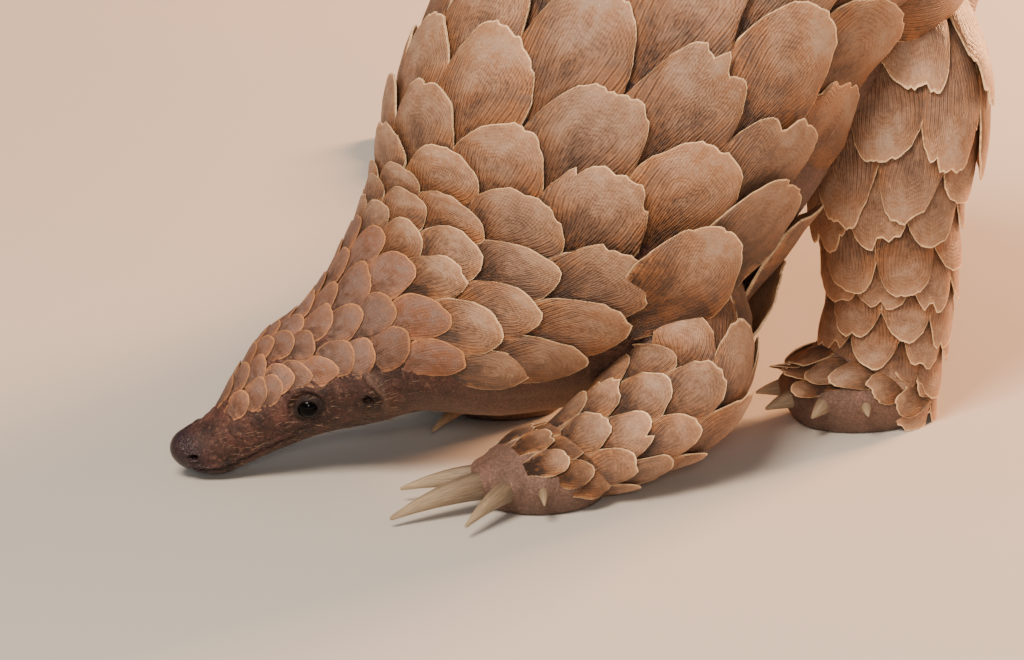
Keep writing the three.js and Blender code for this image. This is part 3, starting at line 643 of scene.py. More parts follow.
# dark is painted shade in the eye socket, ear holes, nostrils and mouth groove, and the lids' own dark skin
# round the eye
def faceRelief(points, s, angle):  # the lift of the skin, and how far it is nose, dark or pale
    lift = np.zeros(points.shape[:2])
    nose = smoothStep(16, 4, s) * np.ones_like(lift)
    dark = np.zeros_like(lift)
    pale = np.zeros_like(lift)
    degrees = np.degrees(angle)
    for side in (1, -1):
        # the eye: a rim, folds that run round it, a hollow and a brow
        a, b, out = featureField(points, eye, side)
        near = out < 14
        wide, high = eyelids["half"]
        q = np.sqrt((a / wide) ** 2 + ((b - eyelids["lift"]) / high) ** 2)
        r = np.sqrt(a**2 + b**2)
        upper = eyelids["upper"] * smoothStep(0.2, 3.0, b)
        lids = eyelids["rim"] * ridge(q, 1.2, 0.24) + upper * ridge(q, 1.4, 0.4)
        folds = -0.45 * ridge(q, 1.85, 0.17) + 0.4 * ridge(q, 2.25, 0.22) - 0.3 * ridge(q, 2.75, 0.18)
        socket = -eyelids["socket"] * smoothStep(1.04, 0.84, q)
        over = smoothStep(0, 5, b) * smoothStep(13, 8, np.abs(a - 1))
        brow = over * (brows["crest"] * ridge(r, 9.4, 1.3) - brows["crease"] * ridge(r, 7.3, 0.8))
        hollow = -brows["hollow"] * smoothStep(10.5, 6, r) * smoothStep(3.4, 4.6, r)
        lift += near * (lids + folds + socket + brow + hollow)
        # the lids' dark skin round the eye, with painted shade into the socket
        dark = np.maximum(dark, near * smoothStep(2.3, 1.1, q))
        # the ear: an open hole with a low fold of skin behind it
        a, b, out = featureField(points, ear, side)
        near = out < 16
        wide, high = ear["half"]
        hole = np.sqrt(((a + ear["ahead"]) / wide) ** 2 + (b / high) ** 2)
        r = np.sqrt((a + ear["ahead"]) ** 2 + (b / 1.35) ** 2)
        behind = smoothStep(-1.0, 3.5, a)
        flap = ear["flap"] * ridge(r, 7.0, 1.9) * behind
        valley = -ear["valley"] * ridge(r, 4.9, 1.1) * behind
        rimRing = ear["rim"] * ridge(hole, 1.45, 0.28)
        lift += near * (flap + valley + rimRing - ear["deep"] * smoothStep(1.1, 0.75, hole))
        # painted shade in the ear hole
        dark = np.maximum(dark, near * smoothStep(1.25, 0.8, hole))
        pale = np.maximum(pale, near * 0.28 * ridge(r, 7.4, 3.0) * behind)
        # the nostril: a slanting pit with a low rim
        a, b, out = featureField(points, nostril, side)
        near = out < 7
        wide, high = nostril["half"]
        q = np.sqrt((a / wide) ** 2 + ((b + nostril["slant"] * a) / high) ** 2)
        pit = -nostril["deep"] * smoothStep(1.25, 0.55, q)
        lift += near * (pit + nostril["rim"] * ridge(q, 1.7, 0.35))
        # painted shade in the nostril's pit
        dark = np.maximum(dark, near * smoothStep(1.5, 0.8, q))
        # the mouth: a groove between two lips
        level = (degrees * side - mouth["angle"]) * np.pi / 180 * body.at(s)[0][..., 3]
        along = smoothStep(mouth["start"] - 3, mouth["start"], s)
        along = along * smoothStep(mouth["end"] + 2, mouth["end"] - 3, s)
        lips = mouth["lips"] * ridge(np.abs(level), 1.7, 1.1) - mouth["deep"] * ridge(level, 0, 0.55)
        lift += along * lips
        # painted shade in the groove between the lips
        dark = np.maximum(dark, 0.8 * along * ridge(level, 0, 0.7))
    # soft folds that run round the muzzle and down the cheek
    cheek = smoothStep(150, 118, np.abs(degrees))
    x = s + 2.2 * np.sin(angle * 3.0) + 1.3 * np.sin(angle * 7 + s * 0.21)
    lift += 0.16 * cheek * np.sin(x * 1.9) * smoothStep(4, 14, s) * smoothStep(95, 80, s)
    broad = 0.22 * cheek * np.sin(x * 0.83 + 1.3 * np.sin(angle * 5))
    lift += broad * smoothStep(10, 24, s) * smoothStep(96, 84, s)
    return lift, nose, dark, pale


def trunkSkin():
    half = np.concatenate([np.arange(*band) for band in skin["columns"]])
    angles = np.radians(np.r_[half, 180, -half[:0:-1]])
    s = np.r_[
        skin["noseFrom"] + np.array(skin["noseRings"]),
        np.arange(0, skin["fineTo"], skin["fine"]),
        np.arange(skin["fineTo"] + 2, body.length, skin["coarse"]),
        body.length,
        body.length + np.array(skin["tailRings"]),
    ]
    S, T = np.meshgrid(s, angles, indexing="ij")
    rounded = np.clip((skin["noseRound"] - S) / (skin["noseRound"] - skin["noseFrom"]), 0, 1)
    closing = skin["tailRound"] + skin["tailRings"][-1]
    ends = np.clip((S - body.length + skin["tailRound"]) / closing, 0, 1)
    swell = np.sqrt(np.maximum(1 - rounded**2.3, 1e-5)) * np.sqrt(np.maximum(1 - ends**2, 1e-5))
    base = body.point(S, T, -skin["inside"] * swell, swell)
    normal = unit(np.cross(np.roll(base, -1, 1) - np.roll(base, 1, 1), np.gradient(base, axis=0)))
    lift, nose, dark, pale = faceRelief(base, S, T)
    points = base + normal * lift[..., None]
    flat, faces = closedForm(points, [points[0].mean(0), points[-1].mean(0)])
    degrees = np.abs(np.degrees(T))
    throat = smoothStep(100, 150, degrees) * smoothStep(60, 150, S)
    # masks: nose, dark (painted shade in the face's pits and grooves, and the lids' dark skin) and pale
    masks = np.stack([nose, dark, np.maximum(pale, 0.75 * throat)], -1).reshape(-1, 3)
    # bristles grow beside the scales, fewer on the belly
    row, turned = body.at(s)
    bare = smoothStep(4, 20, degrees - row[:, None, 8])
    hairy = bare * smoothStep(9, 26, S) * smoothStep(placeOf["rump"], placeOf["chest"], S) * (1 - dark)
    hairy = hairy * (1 - 0.6 * smoothStep(placeOf["breast"], placeOf["chest"], S))
    roots = np.stack([S / body.length, T / (2 * np.pi) + 0.5, hairy], -1).reshape(-1, 3)
    lies = np.repeat(turned[:, 0], len(angles), axis=0)
    layers = dict(masks=masks, roots=roots, lies=lies)
    return flat, faces, {key: np.r_[rows, rows[:1], rows[-1:]] for key, rows in layers.items()}


def ellipsoidPoints(centre, size, around=28, rows=16):
    A, B = ringGrid(np.linspace(0, np.pi, rows + 1)[1:-1], around)
    grid = np.stack([np.sin(A) * np.cos(B), np.sin(A) * np.sin(B), np.cos(A)], -1) * size + centre
    pole = np.array((0, 0, size[2]))
    return closedForm(grid, [centre + pole, centre - pole], flip=True)


# Toes end at a share of the foot's half size; the toe of a claw is a ball a little larger and
# further out than its root, in millimetres.
toes = dict(share=0.8, ahead=1.5, up=1.0, larger=2.2, height=0.95, grid=(16, 10))


def clawRoots(name):
    kind = kindOf(name)
    reach = np.array([*kind["foot"][:2], 0]) * toes["share"]
    for bearing, length, radius in kind["claws"]:
        turn = math.radians(bearing)
        heading = np.array([-math.cos(turn), -math.sin(turn), 0])
        yield heading, np.array(legLines[name]["foot"], float) + heading * reach, length, radius


def sweptTube(sweep, lift, around=36, rows=44):
    grid = sweep.point(*ringGrid(np.linspace(0, sweep.length, rows), around), lift)
    row, turned = sweep.at(np.array([0.0, sweep.length]))
    caps = row[:, :3] + turned[:, 0] * np.array([[-6.0], [4.0]])  # rounded 6 mm up and 4 mm down
    return closedForm(grid, caps)


def gathered(parts):  # several closed forms as one list of points and faces
    points, faces, start = [], [], 0
    for p, f in parts:
        points.append(p)
        faces += [tuple(k + start for k in face) for face in f]
        start += len(p)
    return np.concatenate(points), faces


def limbSkin(name):
    size = np.array(kindOf(name)["foot"]) - skin["insideFoot"]
    parts = [sweptTube(legs[name], -skin["inside"])]
    parts.append(ellipsoidPoints(legLines[name]["foot"], size))
    for heading, root, _, radius in clawRoots(name):
        knuckle = root + heading * toes["ahead"] + (0, 0, toes["up"])
        toe = np.array([1.0, 1.0, toes["height"]]) * (radius + toes["larger"])
        parts.append(ellipsoidPoints(knuckle, toe, *toes["grid"]))
    limb = makeMesh(name + "_core", *gathered(parts))
    remesh = limb.modifiers.new("join", "REMESH")
    remesh.mode = "VOXEL"
    remesh.voxel_size = skin["limbVoxel"] * 0.001
    smooth = limb.modifiers.new("soften", "SMOOTH")
    smooth.iterations = 3
    applyModifiers(limb)
    co = coordinates(limb)
    co[:, 2] = np.maximum(co[:, 2], skin["lowest"] * 0.001)  # soles end flat, just over the floor
    limb.data.vertices.foreach_set("co", co.ravel())
    addLayer(limb, "masks", np.tile((0.0, 0.0, skin["limbPale"]), (len(co), 1)))
    return limb


flat, faces, layers = trunkSkin()
flat[:, 2] = np.maximum(flat[:, 2], skin["lowest"])
skinPiece = makeMesh("skin", flat, faces)
for key, rows in layers.items():
    addLayer(skinPiece, key, rows)
limbCores = [limbSkin(name) for name in legLines]
for core in limbCores:
    union = skinPiece.modifiers.new(core.name, "BOOLEAN")
    union.operation = "UNION"
    union.solver = "MANIFOLD"
    union.object = core
applyModifiers(skinPiece)
for core in limbCores:
    bpy.data.objects.remove(core)
print("skin", len(skinPiece.data.vertices), "vertices")


def limbSpheres(name):  # a limb as a run of balls, to lay scales over it
    sweep = legs[name]
    row = sweep.at(np.linspace(0, sweep.length, 40))[0]
    return row[:, :3], (row[:, 3] + row[:, 4]) / 2 * (1 - relief["share"])


def trunkDistance(points):  # about how far points lie outside the trunk
    found = np.full(len(points), 1e9)
    for i in range(40, len(body.rows), 4):
        row, (along, side, up) = body.rows[i], body.frames[i]
        d = points - row[:3]
        level = np.abs(d @ along)
        height = np.where(d @ up > 0, row[4], row[5])
        q = np.sqrt(((d @ side) / row[3]) ** 2 + ((d @ up) / height) ** 2)
        out = (q - 1) * row[3] * 0.95
        found = np.where((level < 8) & (np.abs(out) < np.abs(found)), out, found)
    return found


def softenJoins(made):
    points = coordinates(made) * 1000 - shift
    limb = np.full(len(points), 1e9)
    for name in legLines:
        centres, radii = limbSpheres(name)
        limb = np.minimum(limb, np.abs((np.linalg.norm(points[:, None] - centres, axis=2) - radii).min(1)))
    near = np.where(limb < 30)[0]  # only there the trunk is measured too
    apart = np.full(len(points), 1e9)
    apart[near] = np.abs(trunkDistance(points[near])) + limb[near]
    weights = 1 - smoothStep(skin["blend"] * 0.4, skin["blend"] * 1.6, apart)
    group = made.vertex_groups.new(name="joins")
    for i in np.where(weights > 0.02)[0]:
        group.add([int(i)], float(weights[i]), "REPLACE")
    smooth = made.modifiers.new("soften", "SMOOTH")
    smooth.vertex_group = "joins"
    smooth.factor = skin["smoothBy"]
    smooth.iterations = skin["smoothing"]
    applyModifiers(made)
    made.vertex_groups.clear()


softenJoins(skinPiece)
skinPiece.data.shade_smooth()
skinPiece.data.materials.clear()
skinPiece.data.materials.append(skinHide)
trunkNodes = ["head", "neck", "torso_front", "torso_rear", "tail_base", "tail_middle", "tail_tip"]
sidedNodes = [kind + "_" + word for kind in ("ear", "forefoot", "hindfoot") for word in ("left", "right")]
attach(skinPiece, "root")
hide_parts(*trunkNodes, *legLines, *sidedNodes)
print("skin joined")

# Sparse pale bristles of cheeks, throat and belly, grown from the skin and swept tailward.
# Lengths are millimetres, bend, stand and spread shares of a bristle's own length, and patch its
# share of the unwrap. A real one is about half as thick, too thin to show.
bristles = dict(
    perCm2=16.0,
    length=4.2,
    thick=0.1,
    bend=0.28,
    stand=0.3,
    spread=0.3,
    sizes=(0.45, 1.15),
    patch=0.003,
    seed=7,
    hair="94765d",
    dull="7c6450",
)
# stiff pale keratin hair, single hairs a little apart in tone
hairPaint = startMaterial("hair_keratin_pale")
place = addNode(hairPaint, "TexCoord", out="Object")
tones = addNode(hairPaint, "TexNoise", {"Vector": place, "Scale": 260.0})
layers = ((0.35, bristles["dull"]), (0.65, bristles["hair"]))
tint = addNode(hairPaint, "ValToRGB", {0: tones}, ramp=layers)
paint = addNode(hairPaint, "BsdfPrincipled", {"Base Color": tint, "Roughness": 0.5})
addNode(hairPaint, "OutputMaterial", {"Surface": paint})


def bristleTree():
    tree = bpy.data.node_groups.new("bristles", "GeometryNodeTree")
    named = dict(Geometry="Geometry", Density="Float", Length="Float", Thickness="Float", Seed="Int")
    for key, kind in named.items():
        tree.interface.new_socket(key, in_out="INPUT", socket_type="NodeSocket" + kind)
    tree.interface.new_socket("Geometry", in_out="OUTPUT", socket_type="NodeSocketGeometry")
    given = tree.nodes.new("NodeGroupInput").outputs
    roots, lies = (
        addNode(tree, "GeometryNodeInputNamedAttribute", {"Name": key}, data_type="FLOAT_VECTOR")
        for key in ("roots", "lies")
    )
    share = addNode(tree, "SeparateXYZ", {0: roots}, out="Z")
    density = addNode(tree, "Math", {0: share, 1: given["Density"]}, operation="MULTIPLY")
    grown = {"Mesh": given["Geometry"], "Density": density, "Seed": given["Seed"]}
    points = addNode(tree, "GeometryNodeDistributePointsOnFaces", grown, out="Points")
    # one bristle: a thin three-sided cone bent over along its length
    sizes = {"Radius Bottom": given["Thickness"], "Depth": given["Length"]}
    cone = addNode(tree, "GeometryNodeMeshCone", {"Vertices": 3, "Side Segments": 3} | sizes, out="Mesh")
    height = addNode(tree, "SeparateXYZ", {0: addNode(tree, "GeometryNodeInputPosition")}, out="Z")
    share = addNode(tree, "Math", {0: height, 1: given["Length"]}, operation="DIVIDE")
    curve = addNode(tree, "Math", {0: share, 1: 2.0}, operation="POWER")
    reach = addNode(tree, "Math", {0: given["Length"], 1: bristles["bend"]}, operation="MULTIPLY")
    bend = addNode(tree, "Math", {0: curve, 1: reach}, operation="MULTIPLY")
    moved = {"Geometry": cone, "Offset": addNode(tree, "CombineXYZ", {0: bend})}
    hair = addNode(tree, "GeometryNodeSetPosition", moved)
    # each one leans along the lie of the coat
    low, high = (-bristles["spread"],) * 3, (bristles["spread"],) * 3
    ranges = {"Min": low, "Max": high, "Seed": given["Seed"]}
    loose = addNode(tree, "FunctionNodeRandomValue", ranges, data_type="FLOAT_VECTOR")
    lifted = {0: points.node.outputs["Normal"], 3: bristles["stand"]}
    lift = addNode(tree, "VectorMath", lifted, operation="SCALE")
    lean = addNode(tree, "VectorMath", {0: lift, 1: lies}, operation="ADD")
    heading = addNode(tree, "VectorMath", {0: lean, 1: loose}, operation="ADD")
    turned = addNode(tree, "FunctionNodeAlignRotationToVector", {"Vector": heading}, axis="Z")
    small, large = bristles["sizes"]
    size = addNode(tree, "FunctionNodeRandomValue", {2: small, 3: large, "Seed": given["Seed"]}, out=1)
    placed = {"Points": points, "Instance": hair, "Rotation": turned, "Scale": size}
    coat = addNode(tree, "GeometryNodeInstanceOnPoints", placed)
    coat = addNode(tree, "GeometryNodeRealizeInstances", {"Geometry": coat})
    # each bristle's patch lies at its root's place on the skin's unwrap
    unwrapped = {0: cone.node.outputs["UV Map"], 3: bristles["patch"]}
    patch = addNode(tree, "VectorMath", unwrapped, operation="SCALE")
    spot = addNode(tree, "VectorMath", {0: roots, 1: patch}, operation="ADD")
    stored = {"Geometry": coat, "Name": "OFBake", "Value": spot}
    coat = addNode(tree, "GeometryNodeStoreNamedAttribute", stored, data_type="FLOAT2", domain="CORNER")
    coat = addNode(tree, "GeometryNodeSetMaterial", {"Geometry": coat, "Material": hairPaint})
    addNode(tree, "NodeGroupOutput", {"Geometry": coat})
    return tree


hairPiece = bpy.data.objects.new("bristles", skinPiece.data.copy())
bpy.context.scene.collection.objects.link(hairPiece)
grower = hairPiece.modifiers.new("bristles", "NODES")
grower.node_group = bristleTree()
wanted = dict(
    Density=bristles["perCm2"] * 1e4,
    Length=bristles["length"] * 0.001,
    Thickness=bristles["thick"] * 0.001,
    Seed=bristles["seed"],
)
for item in grower.node_group.interface.items_tree:
    if item.in_out == "INPUT" and item.name in wanted:
        grower[item.identifier] = wanted[item.name]
applyModifiers(hairPiece)
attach(hairPiece, "root")
print("bristles", len(hairPiece.data.polygons), "faces")

# Scales: sizes are shares of a scale's own length or width, limits are millimetres. A pair is the
# least and the most of what differs from scale to scale; close is for the head's tighter rows.
plates = dict(
    steps=2.36,
    width=1.05,
    rise=0.105,
    sunk=0.055,
    thick=0.043,
    thinnest=0.8,
    thickest=2.5,
    vary=0.07,
    turn=0.05,
    point=(0.3, 0.46),
    roundness=(2.3, 3.9),
    skew=(-0.1, 0.1),
    roll=0.9,
    smallRoll=0.3,
    curl=(-0.018, 0.008),
    tone=(0.82, 1.14),
    chips=5,
    chipsMore=3,
    jagged=0.4,
    chipPlace=(-0.95, 0.95),
    chipWidth=(0.05, 0.2),
    chipDepth=(0.008, 0.05),
    deepChips=1.7,
    lowChips=0.6,
    closeSteps=0.3,
    closeWidth=0.07,
    large=40,
    fineGrid=(10, 27),
    smallGrid=(6, 13),
    ripple=0.1,
    sharp=50,
    seed=23,
)
# Where scales are left out, and how they lie by the limbs, the floor and the tail's tip, in
# millimetres, degrees and shares; a pair is for the front and the rear of the trunk.
fit = dict(
    rooted=(16.0, 11.0),
    crease=(14.0, 8.0),
    steep=(0.45, 0.3),
    inFoot=0.6,
    onLeg=-5,
    legStart=4,
    footEnds=3,
    clearToes=7.0,
    overLimbs=26,
    closing=11.0,
    tailStop=8,
    floor=0.3,
    soft=5.0,
    footLift=1.4,
    footSpan=(-0.8, 0.84),
    footHorn=(92, 36, 0.56),
)
drawn = np.random.default_rng(plates["seed"])


def ringsOf(sweep, start, stop):  # rings of scales along a form, every other one half a step round
    rings = []
    s = start
    while s < stop:
        row = sweep.at(s)[0]
        step = math.radians(row[9])
        pitch = row[10] * row[3] * step
        half = 0.5 * (len(rings) % 2)
        rings.append(dict(s=s, row=row, step=step, pitch=pitch, shift=half, index=len(rings)))
        s += pitch
    return rings


def anglesOf(ring, wider=0):  # where the scales of a ring lie, up to a little past the edge
    found = []
    for k in np.arange(-6, 6.01) + ring["shift"]:
        angle = k * ring["step"]
        short = math.pi - abs(angle)  # one in the middle of the underside counts once
        if abs(angle) > math.radians(ring["row"][8] + 2 + wider) or short < -ring["step"] / 4:
            continue
        if short > ring["step"] / 2:
            found.append(angle)
        elif short < ring["step"] / 4 and angle > 0:
            found.append(math.pi)
    return found


def formOf(ring, angle, turn=0.0, close=0.0, even=1.0):  # one scale's own shape, drawn in a fixed order
    edge = math.radians(ring["row"][8])
    vary = plates["vary"] * (1 + close)
    hug = 1 - 0.5 * smoothStep(edge - math.radians(30), edge, abs(angle))
    steps = plates["steps"] - plates["closeSteps"] * close
    length = steps * ring["pitch"] * (1 + vary * drawn.uniform(-1, 1))
    wide = (plates["width"] + plates["closeWidth"] * close) * ring["step"] * ring["row"][3]
    big = length > plates["large"]
    jagged = drawn.random() < plates["jagged"] - 0.35 * close
    chipping = plates["deepChips"] if jagged else plates["lowChips"] - 0.3 * close
    return dict(
        s=ring["s"] + (0.05 + 0.1 * close) * ring["pitch"] * drawn.uniform(-1, 1),
        angle=angle * even + (0.03 + 0.06 * close) * ring["step"] * drawn.uniform(-1, 1),
        turn=turn + plates["turn"] * drawn.uniform(-1, 1),
        radius=ring["row"][3],
        length=length,
        width=wide * (1 + 0.7 * vary * drawn.uniform(-1, 1)),
        rise=plates["rise"] * hug * (1 - 0.55 * close) * length * (1 + 0.16 * drawn.uniform(-1, 1)),
        sunk=plates["sunk"] * length,
        thick=float(np.clip(plates["thick"] * length, plates["thinnest"], plates["thickest"])),
        point=drawn.uniform(*plates["point"]),
        roundness=drawn.uniform(*plates["roundness"]),
        skew=drawn.uniform(*plates["skew"]) * (1 + 0.6 * close),
        roll=drawn.uniform(-1, 1) * (plates["roll"] if big else plates["smallRoll"]),
        curl=drawn.uniform(*plates["curl"]),
        chips=[
            (
                drawn.uniform(*plates["chipPlace"]),
                drawn.uniform(*plates["chipWidth"]),
                drawn.uniform(*plates["chipDepth"]) * chipping,
                drawn.random(),
            )
            for _ in range(plates["chips"] + (plates["chipsMore"] if jagged else 0))
        ],
        tone=drawn.uniform(*plates["tone"]),
        seed=drawn.random(),
        grid=plates["fineGrid"] if big else plates["smallGrid"],
        row=ring["index"],
        column=angle / ring["step"],
        beyond=abs(angle) > edge + math.radians(2),
    )


def drapeOver(points, normals, balls):  # how far points move out along the normals to clear the limbs
    out = np.zeros(len(points))
    for centres, radii in balls:
        if (np.linalg.norm(points.mean(0) - centres, axis=1) - radii).min() > 50:
            continue
        for _ in range(3):
            d = points + normals * out[:, None] - centres[:, None]
            ahead = np.einsum("inj,nj->in", d, normals)
            inside = (d**2).sum(2) - radii[:, None] ** 2
            reach = -ahead + np.sqrt(np.maximum(ahead**2 - inside, 0))
            out = out + np.where(inside < -0.01, reach, 0).max(0)
    return out


def laidOver(extra, u, lie):  # a stiff sheet through those distances, bent no more than horn bends
    terms = np.stack([np.ones_like(u), lie, u, u**2, u * lie], -1).reshape(-1, 5)
    share = np.linalg.lstsq(terms, extra.ravel(), rcond=None)[0]
    sheet = (terms @ share).reshape(u.shape)
    return np.maximum(sheet, -1), max((extra - sheet)[lie > 0.3].max(), 0)


def withinBox(points):  # tips that would pass the CAD's box are pressed back softly
    low, high = np.array(cadBox) * 1000 - shift
    soft = fit["soft"]
    over, under = points - (high - soft), (low + soft) - points
    points = np.where(over > 0, high - soft * np.exp(-np.maximum(over, 0) / soft), points)
    held = np.where(under > 0, low + soft * np.exp(-np.maximum(under, 0) / soft), points)
    return np.c_[held[:, :2], points[:, 2]]


# A corner's place on the unwrap: upper face, underside, and the rim just outside the upper face.
def patchUvs(u, v, faces, count):
    flat = np.stack([(u + 1) / 2, v], -1).reshape(-1, 2)
    upper = flat * (0.84, 0.56) + (0.08, 0.05)
    lower = flat * (0.84, 0.26) + (0.08, 0.69)
    outer = (flat - 0.5) * (0.9, 0.6) + (0.5, 0.33)
    found = []
    rimStart = 2 * len(gridFaces(*u.shape))
    for i, face in enumerate(faces):
        for k in face:
            if i >= rimStart:
                found.append(upper[k] if k < count else outer[k - count])
            else:
                found.append(upper[k] if k < count else lower[k - count])
    return np.array(found)


def tailRounding(s):  # the last scales close round the tip of the tail
    past = np.clip((s - body.length + fit["closing"]) / (1.7 * fit["closing"]), 0, 0.985)
    return np.sqrt(1 - past**2)


def plateForm(sweep, form, balls=None):
    rows, columns = form["grid"]
    count = rows * columns
    v, u = np.meshgrid(1 - (1 - np.linspace(0, 1, rows)) ** 1.3, np.linspace(-1, 1, columns), indexing="ij")
    flare = 0.64 + 0.36 * smoothStep(0, 0.75, v) - 0.04 * smoothStep(0.85, 1.0, v)
    notch = 0 * u
    for at, wide, depth, kind in form["chips"]:
        t = np.abs(u - at) / wide
        notch = notch + depth * (np.exp(-(t**2)) if kind < 0.6 else np.maximum(1 - t, 0))
    notch = notch + 0.006 * np.sin(u * 23 + form["seed"] * 40) + 0.004 * np.sin(u * 47 + form["seed"] * 90)
    tip = 1 - form["point"] * np.abs(u) ** form["roundness"] + form["skew"] * u * (1 - u**2)
    y = v * tip - notch * v**6
    x = u * flare / 2 * (1 + 0.012 * np.sin(v * 19 + form["seed"] * 50))
    across = x * form["width"]
    along = y * form["length"]
    lie = np.clip(y, 0, 1)
    height = (form["sunk"] + form["rise"]) * lie - form["sunk"]
    height = height + 0.02 * form["width"] * (1 - u**2) * smoothStep(0.1, 0.6, lie)
    height = height + form["roll"] * u * lie + form["curl"] * form["length"] * smoothStep(0.6, 1.0, lie)
    ripple = np.sin(lie * 31 + 3 * u + form["seed"] * 60) * smoothStep(0.3, 0.6, lie)
    height = height + plates["ripple"] * ripple * form["length"] / 50
    thin = (1 - 0.3 * lie) * (1 - 0.5 * np.abs(u) ** 9) * (1 - 0.5 * smoothStep(0.9, 1.0, v))
    half = form["thick"] * thin / 2
    c, d = math.cos(form["turn"]), math.sin(form["turn"])

    def spread(size):
        angle = form["angle"] + size * (across * c + along * d) / form["radius"]
        return form["s"] + along * c - across * d, angle

    s, angle = spread(1)
    if balls:  # one rooted deep inside a limb is left to the limb's own scales
        base = sweep.point(s, angle).reshape(-1, 3)
        normal = sweep.normal(s, angle).reshape(-1, 3)
        extra = drapeOver(base, normal, balls).reshape(s.shape)
        rooted = extra[lie < 0.2].mean()
        rear = int(form["s"] > placeOf["back"])
        if rooted > fit["rooted"][rear] or (form["beyond"] and rooted < 2):
            return None
        if extra.max() > 0:
            sheet, crease = laidOver(extra, u, lie)
            steep = sheet[-1].mean() - rooted > fit["steep"][rear] * form["length"]
            if crease > fit["crease"][rear] or steep:
                return None
            s, angle = spread(1 / (1 + sheet.mean() / form["radius"]))
            height = height + sheet + crease * smoothStep(0, 0.6, lie)
    swell = tailRounding(s) if sweep is body else 1.0
    top = sweep.point(s, angle, (height + half) * swell, swell)
    under = sweep.point(s, angle, (height - half) * swell, swell)
    raised = np.maximum(fit["floor"] - np.minimum(top[..., 2], under[..., 2]), 0)
    top[..., 2] += raised
    under[..., 2] += raised
    points = withinBox(np.r_[top.reshape(-1, 3), under.reshape(-1, 3)])
    faces = gridFaces(rows, columns) + gridFaces(rows, columns, count, flip=True)
    foot, head = list(range(columns)), list(range(count - 1, count - columns - 1, -1))
    edge = foot + list(range(2 * columns - 1, count - columns, columns)) + head
    edge += list(range(count - 2 * columns, 0, -columns))
    for a, b in zip(edge, edge[1:] + edge[:1]):
        faces.append((b, a, a + count, b + count))
    rim = np.minimum((tip - notch - y) * form["length"], (1 - np.abs(u)) * flare * form["width"] / 2 + 0.3)
    data = dict(
        horn=np.stack([u * form["width"] / 2, along, np.maximum(rim, 0)], -1).reshape(-1, 3),
        shape=np.stack([u, lie, 0 * u + form["tone"]], -1).reshape(-1, 3),
        uv=patchUvs(u, v, faces, count),
    )
    return points, faces, data


def platePiece(name, sweepForms, material, balls=None):
    cells = np.array([(form["column"], form["row"]) for _, form in sweepForms])
    cell = 1 / (np.ptp(cells, axis=0) + 1)
    parts, uvs, layers = [], [], dict(horn=[], shape=[], seed=[])
    for (sweep, form), place in zip(sweepForms, cells - cells.min(0)):
        plate = plateForm(sweep, form, balls)
        if plate is None:
            continue
        points, faces, data = plate
        parts.append((points, faces))
        layers["horn"] += [data["horn"]] * 2
        layers["shape"] += [data["shape"]] * 2
        layers["seed"].append(np.full(len(points), form["seed"]))
        uvs.append((place + data["uv"]) * cell)
    made = makeMesh(name, *gathered(parts))
    for key, rows in layers.items():
        addLayer(made, key, np.concatenate(rows))
    mesh = made.data
    layer = mesh.uv_layers.new(name="OFBake")
    layer.uv.foreach_set("vector", np.concatenate(uvs).astype(np.float32).ravel())
    mesh.materials.append(material)
    mesh.shade_smooth()
    mesh.set_sharp_from_angle(angle=math.radians(plates["sharp"]))
    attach(made, "root")
    print(name, len(parts), "scales of", len(sweepForms))


bodyRings = ringsOf(body, placeOf["muzzle"] + 1, body.length - fit["tailStop"])
balls = [limbSpheres(name) for name in legLines]
over = fit["overLimbs"]
for name, start, end, material, wider, draped in (
    ("head_scales", "nose", "nape", smallHorn, 0, None),
    ("neck_scales", "nape", "shoulder", scaleHorn, over, balls),
    ("back_scales", "shoulder", "back", scaleHorn, over, balls),
    ("rump_scales", "back", "rump", scaleHorn, over, balls),
    ("tail_base_scales", "rump", "tailBend", scaleHorn, 0, balls),
    ("tail_end_scales", "tailBend", "tailEnd", scaleHorn, 0, balls),
):
    forms = []
    for ring in bodyRings:
        if placeOf[start] <= ring["s"] < placeOf[end]:
            close = float(smoothStep(placeOf["breast"], placeOf["ears"], ring["s"]))
            angles = anglesOf(ring, wider)
            # on the head a ring is spread up to the edge of the bare face
            target = math.radians(ring["row"][8] - 4)
            even = 1 + 0.7 * close * (target / max(angles) - 1)
            forms += [(body, formOf(ring, angle, close=close, even=even)) for angle in angles]
    platePiece(name, forms, material, draped)


def footSweep(name):  # the top of a foot from heel to toes
    size = np.array(kindOf(name)["foot"]) + fit["footLift"]
    x, y, z = legLines[name]["foot"]
    rows = []
    for t in np.linspace(*fit["footSpan"], 9):
        grow = math.sqrt(1 - t * t)
        length, wide, high = size * (t, grow, grow)
        rows.append((x - length, y, z, wide, high, high, 0, 0, *fit["footHorn"]))
    return Sweep(rows, (0, 0, 1), 80)


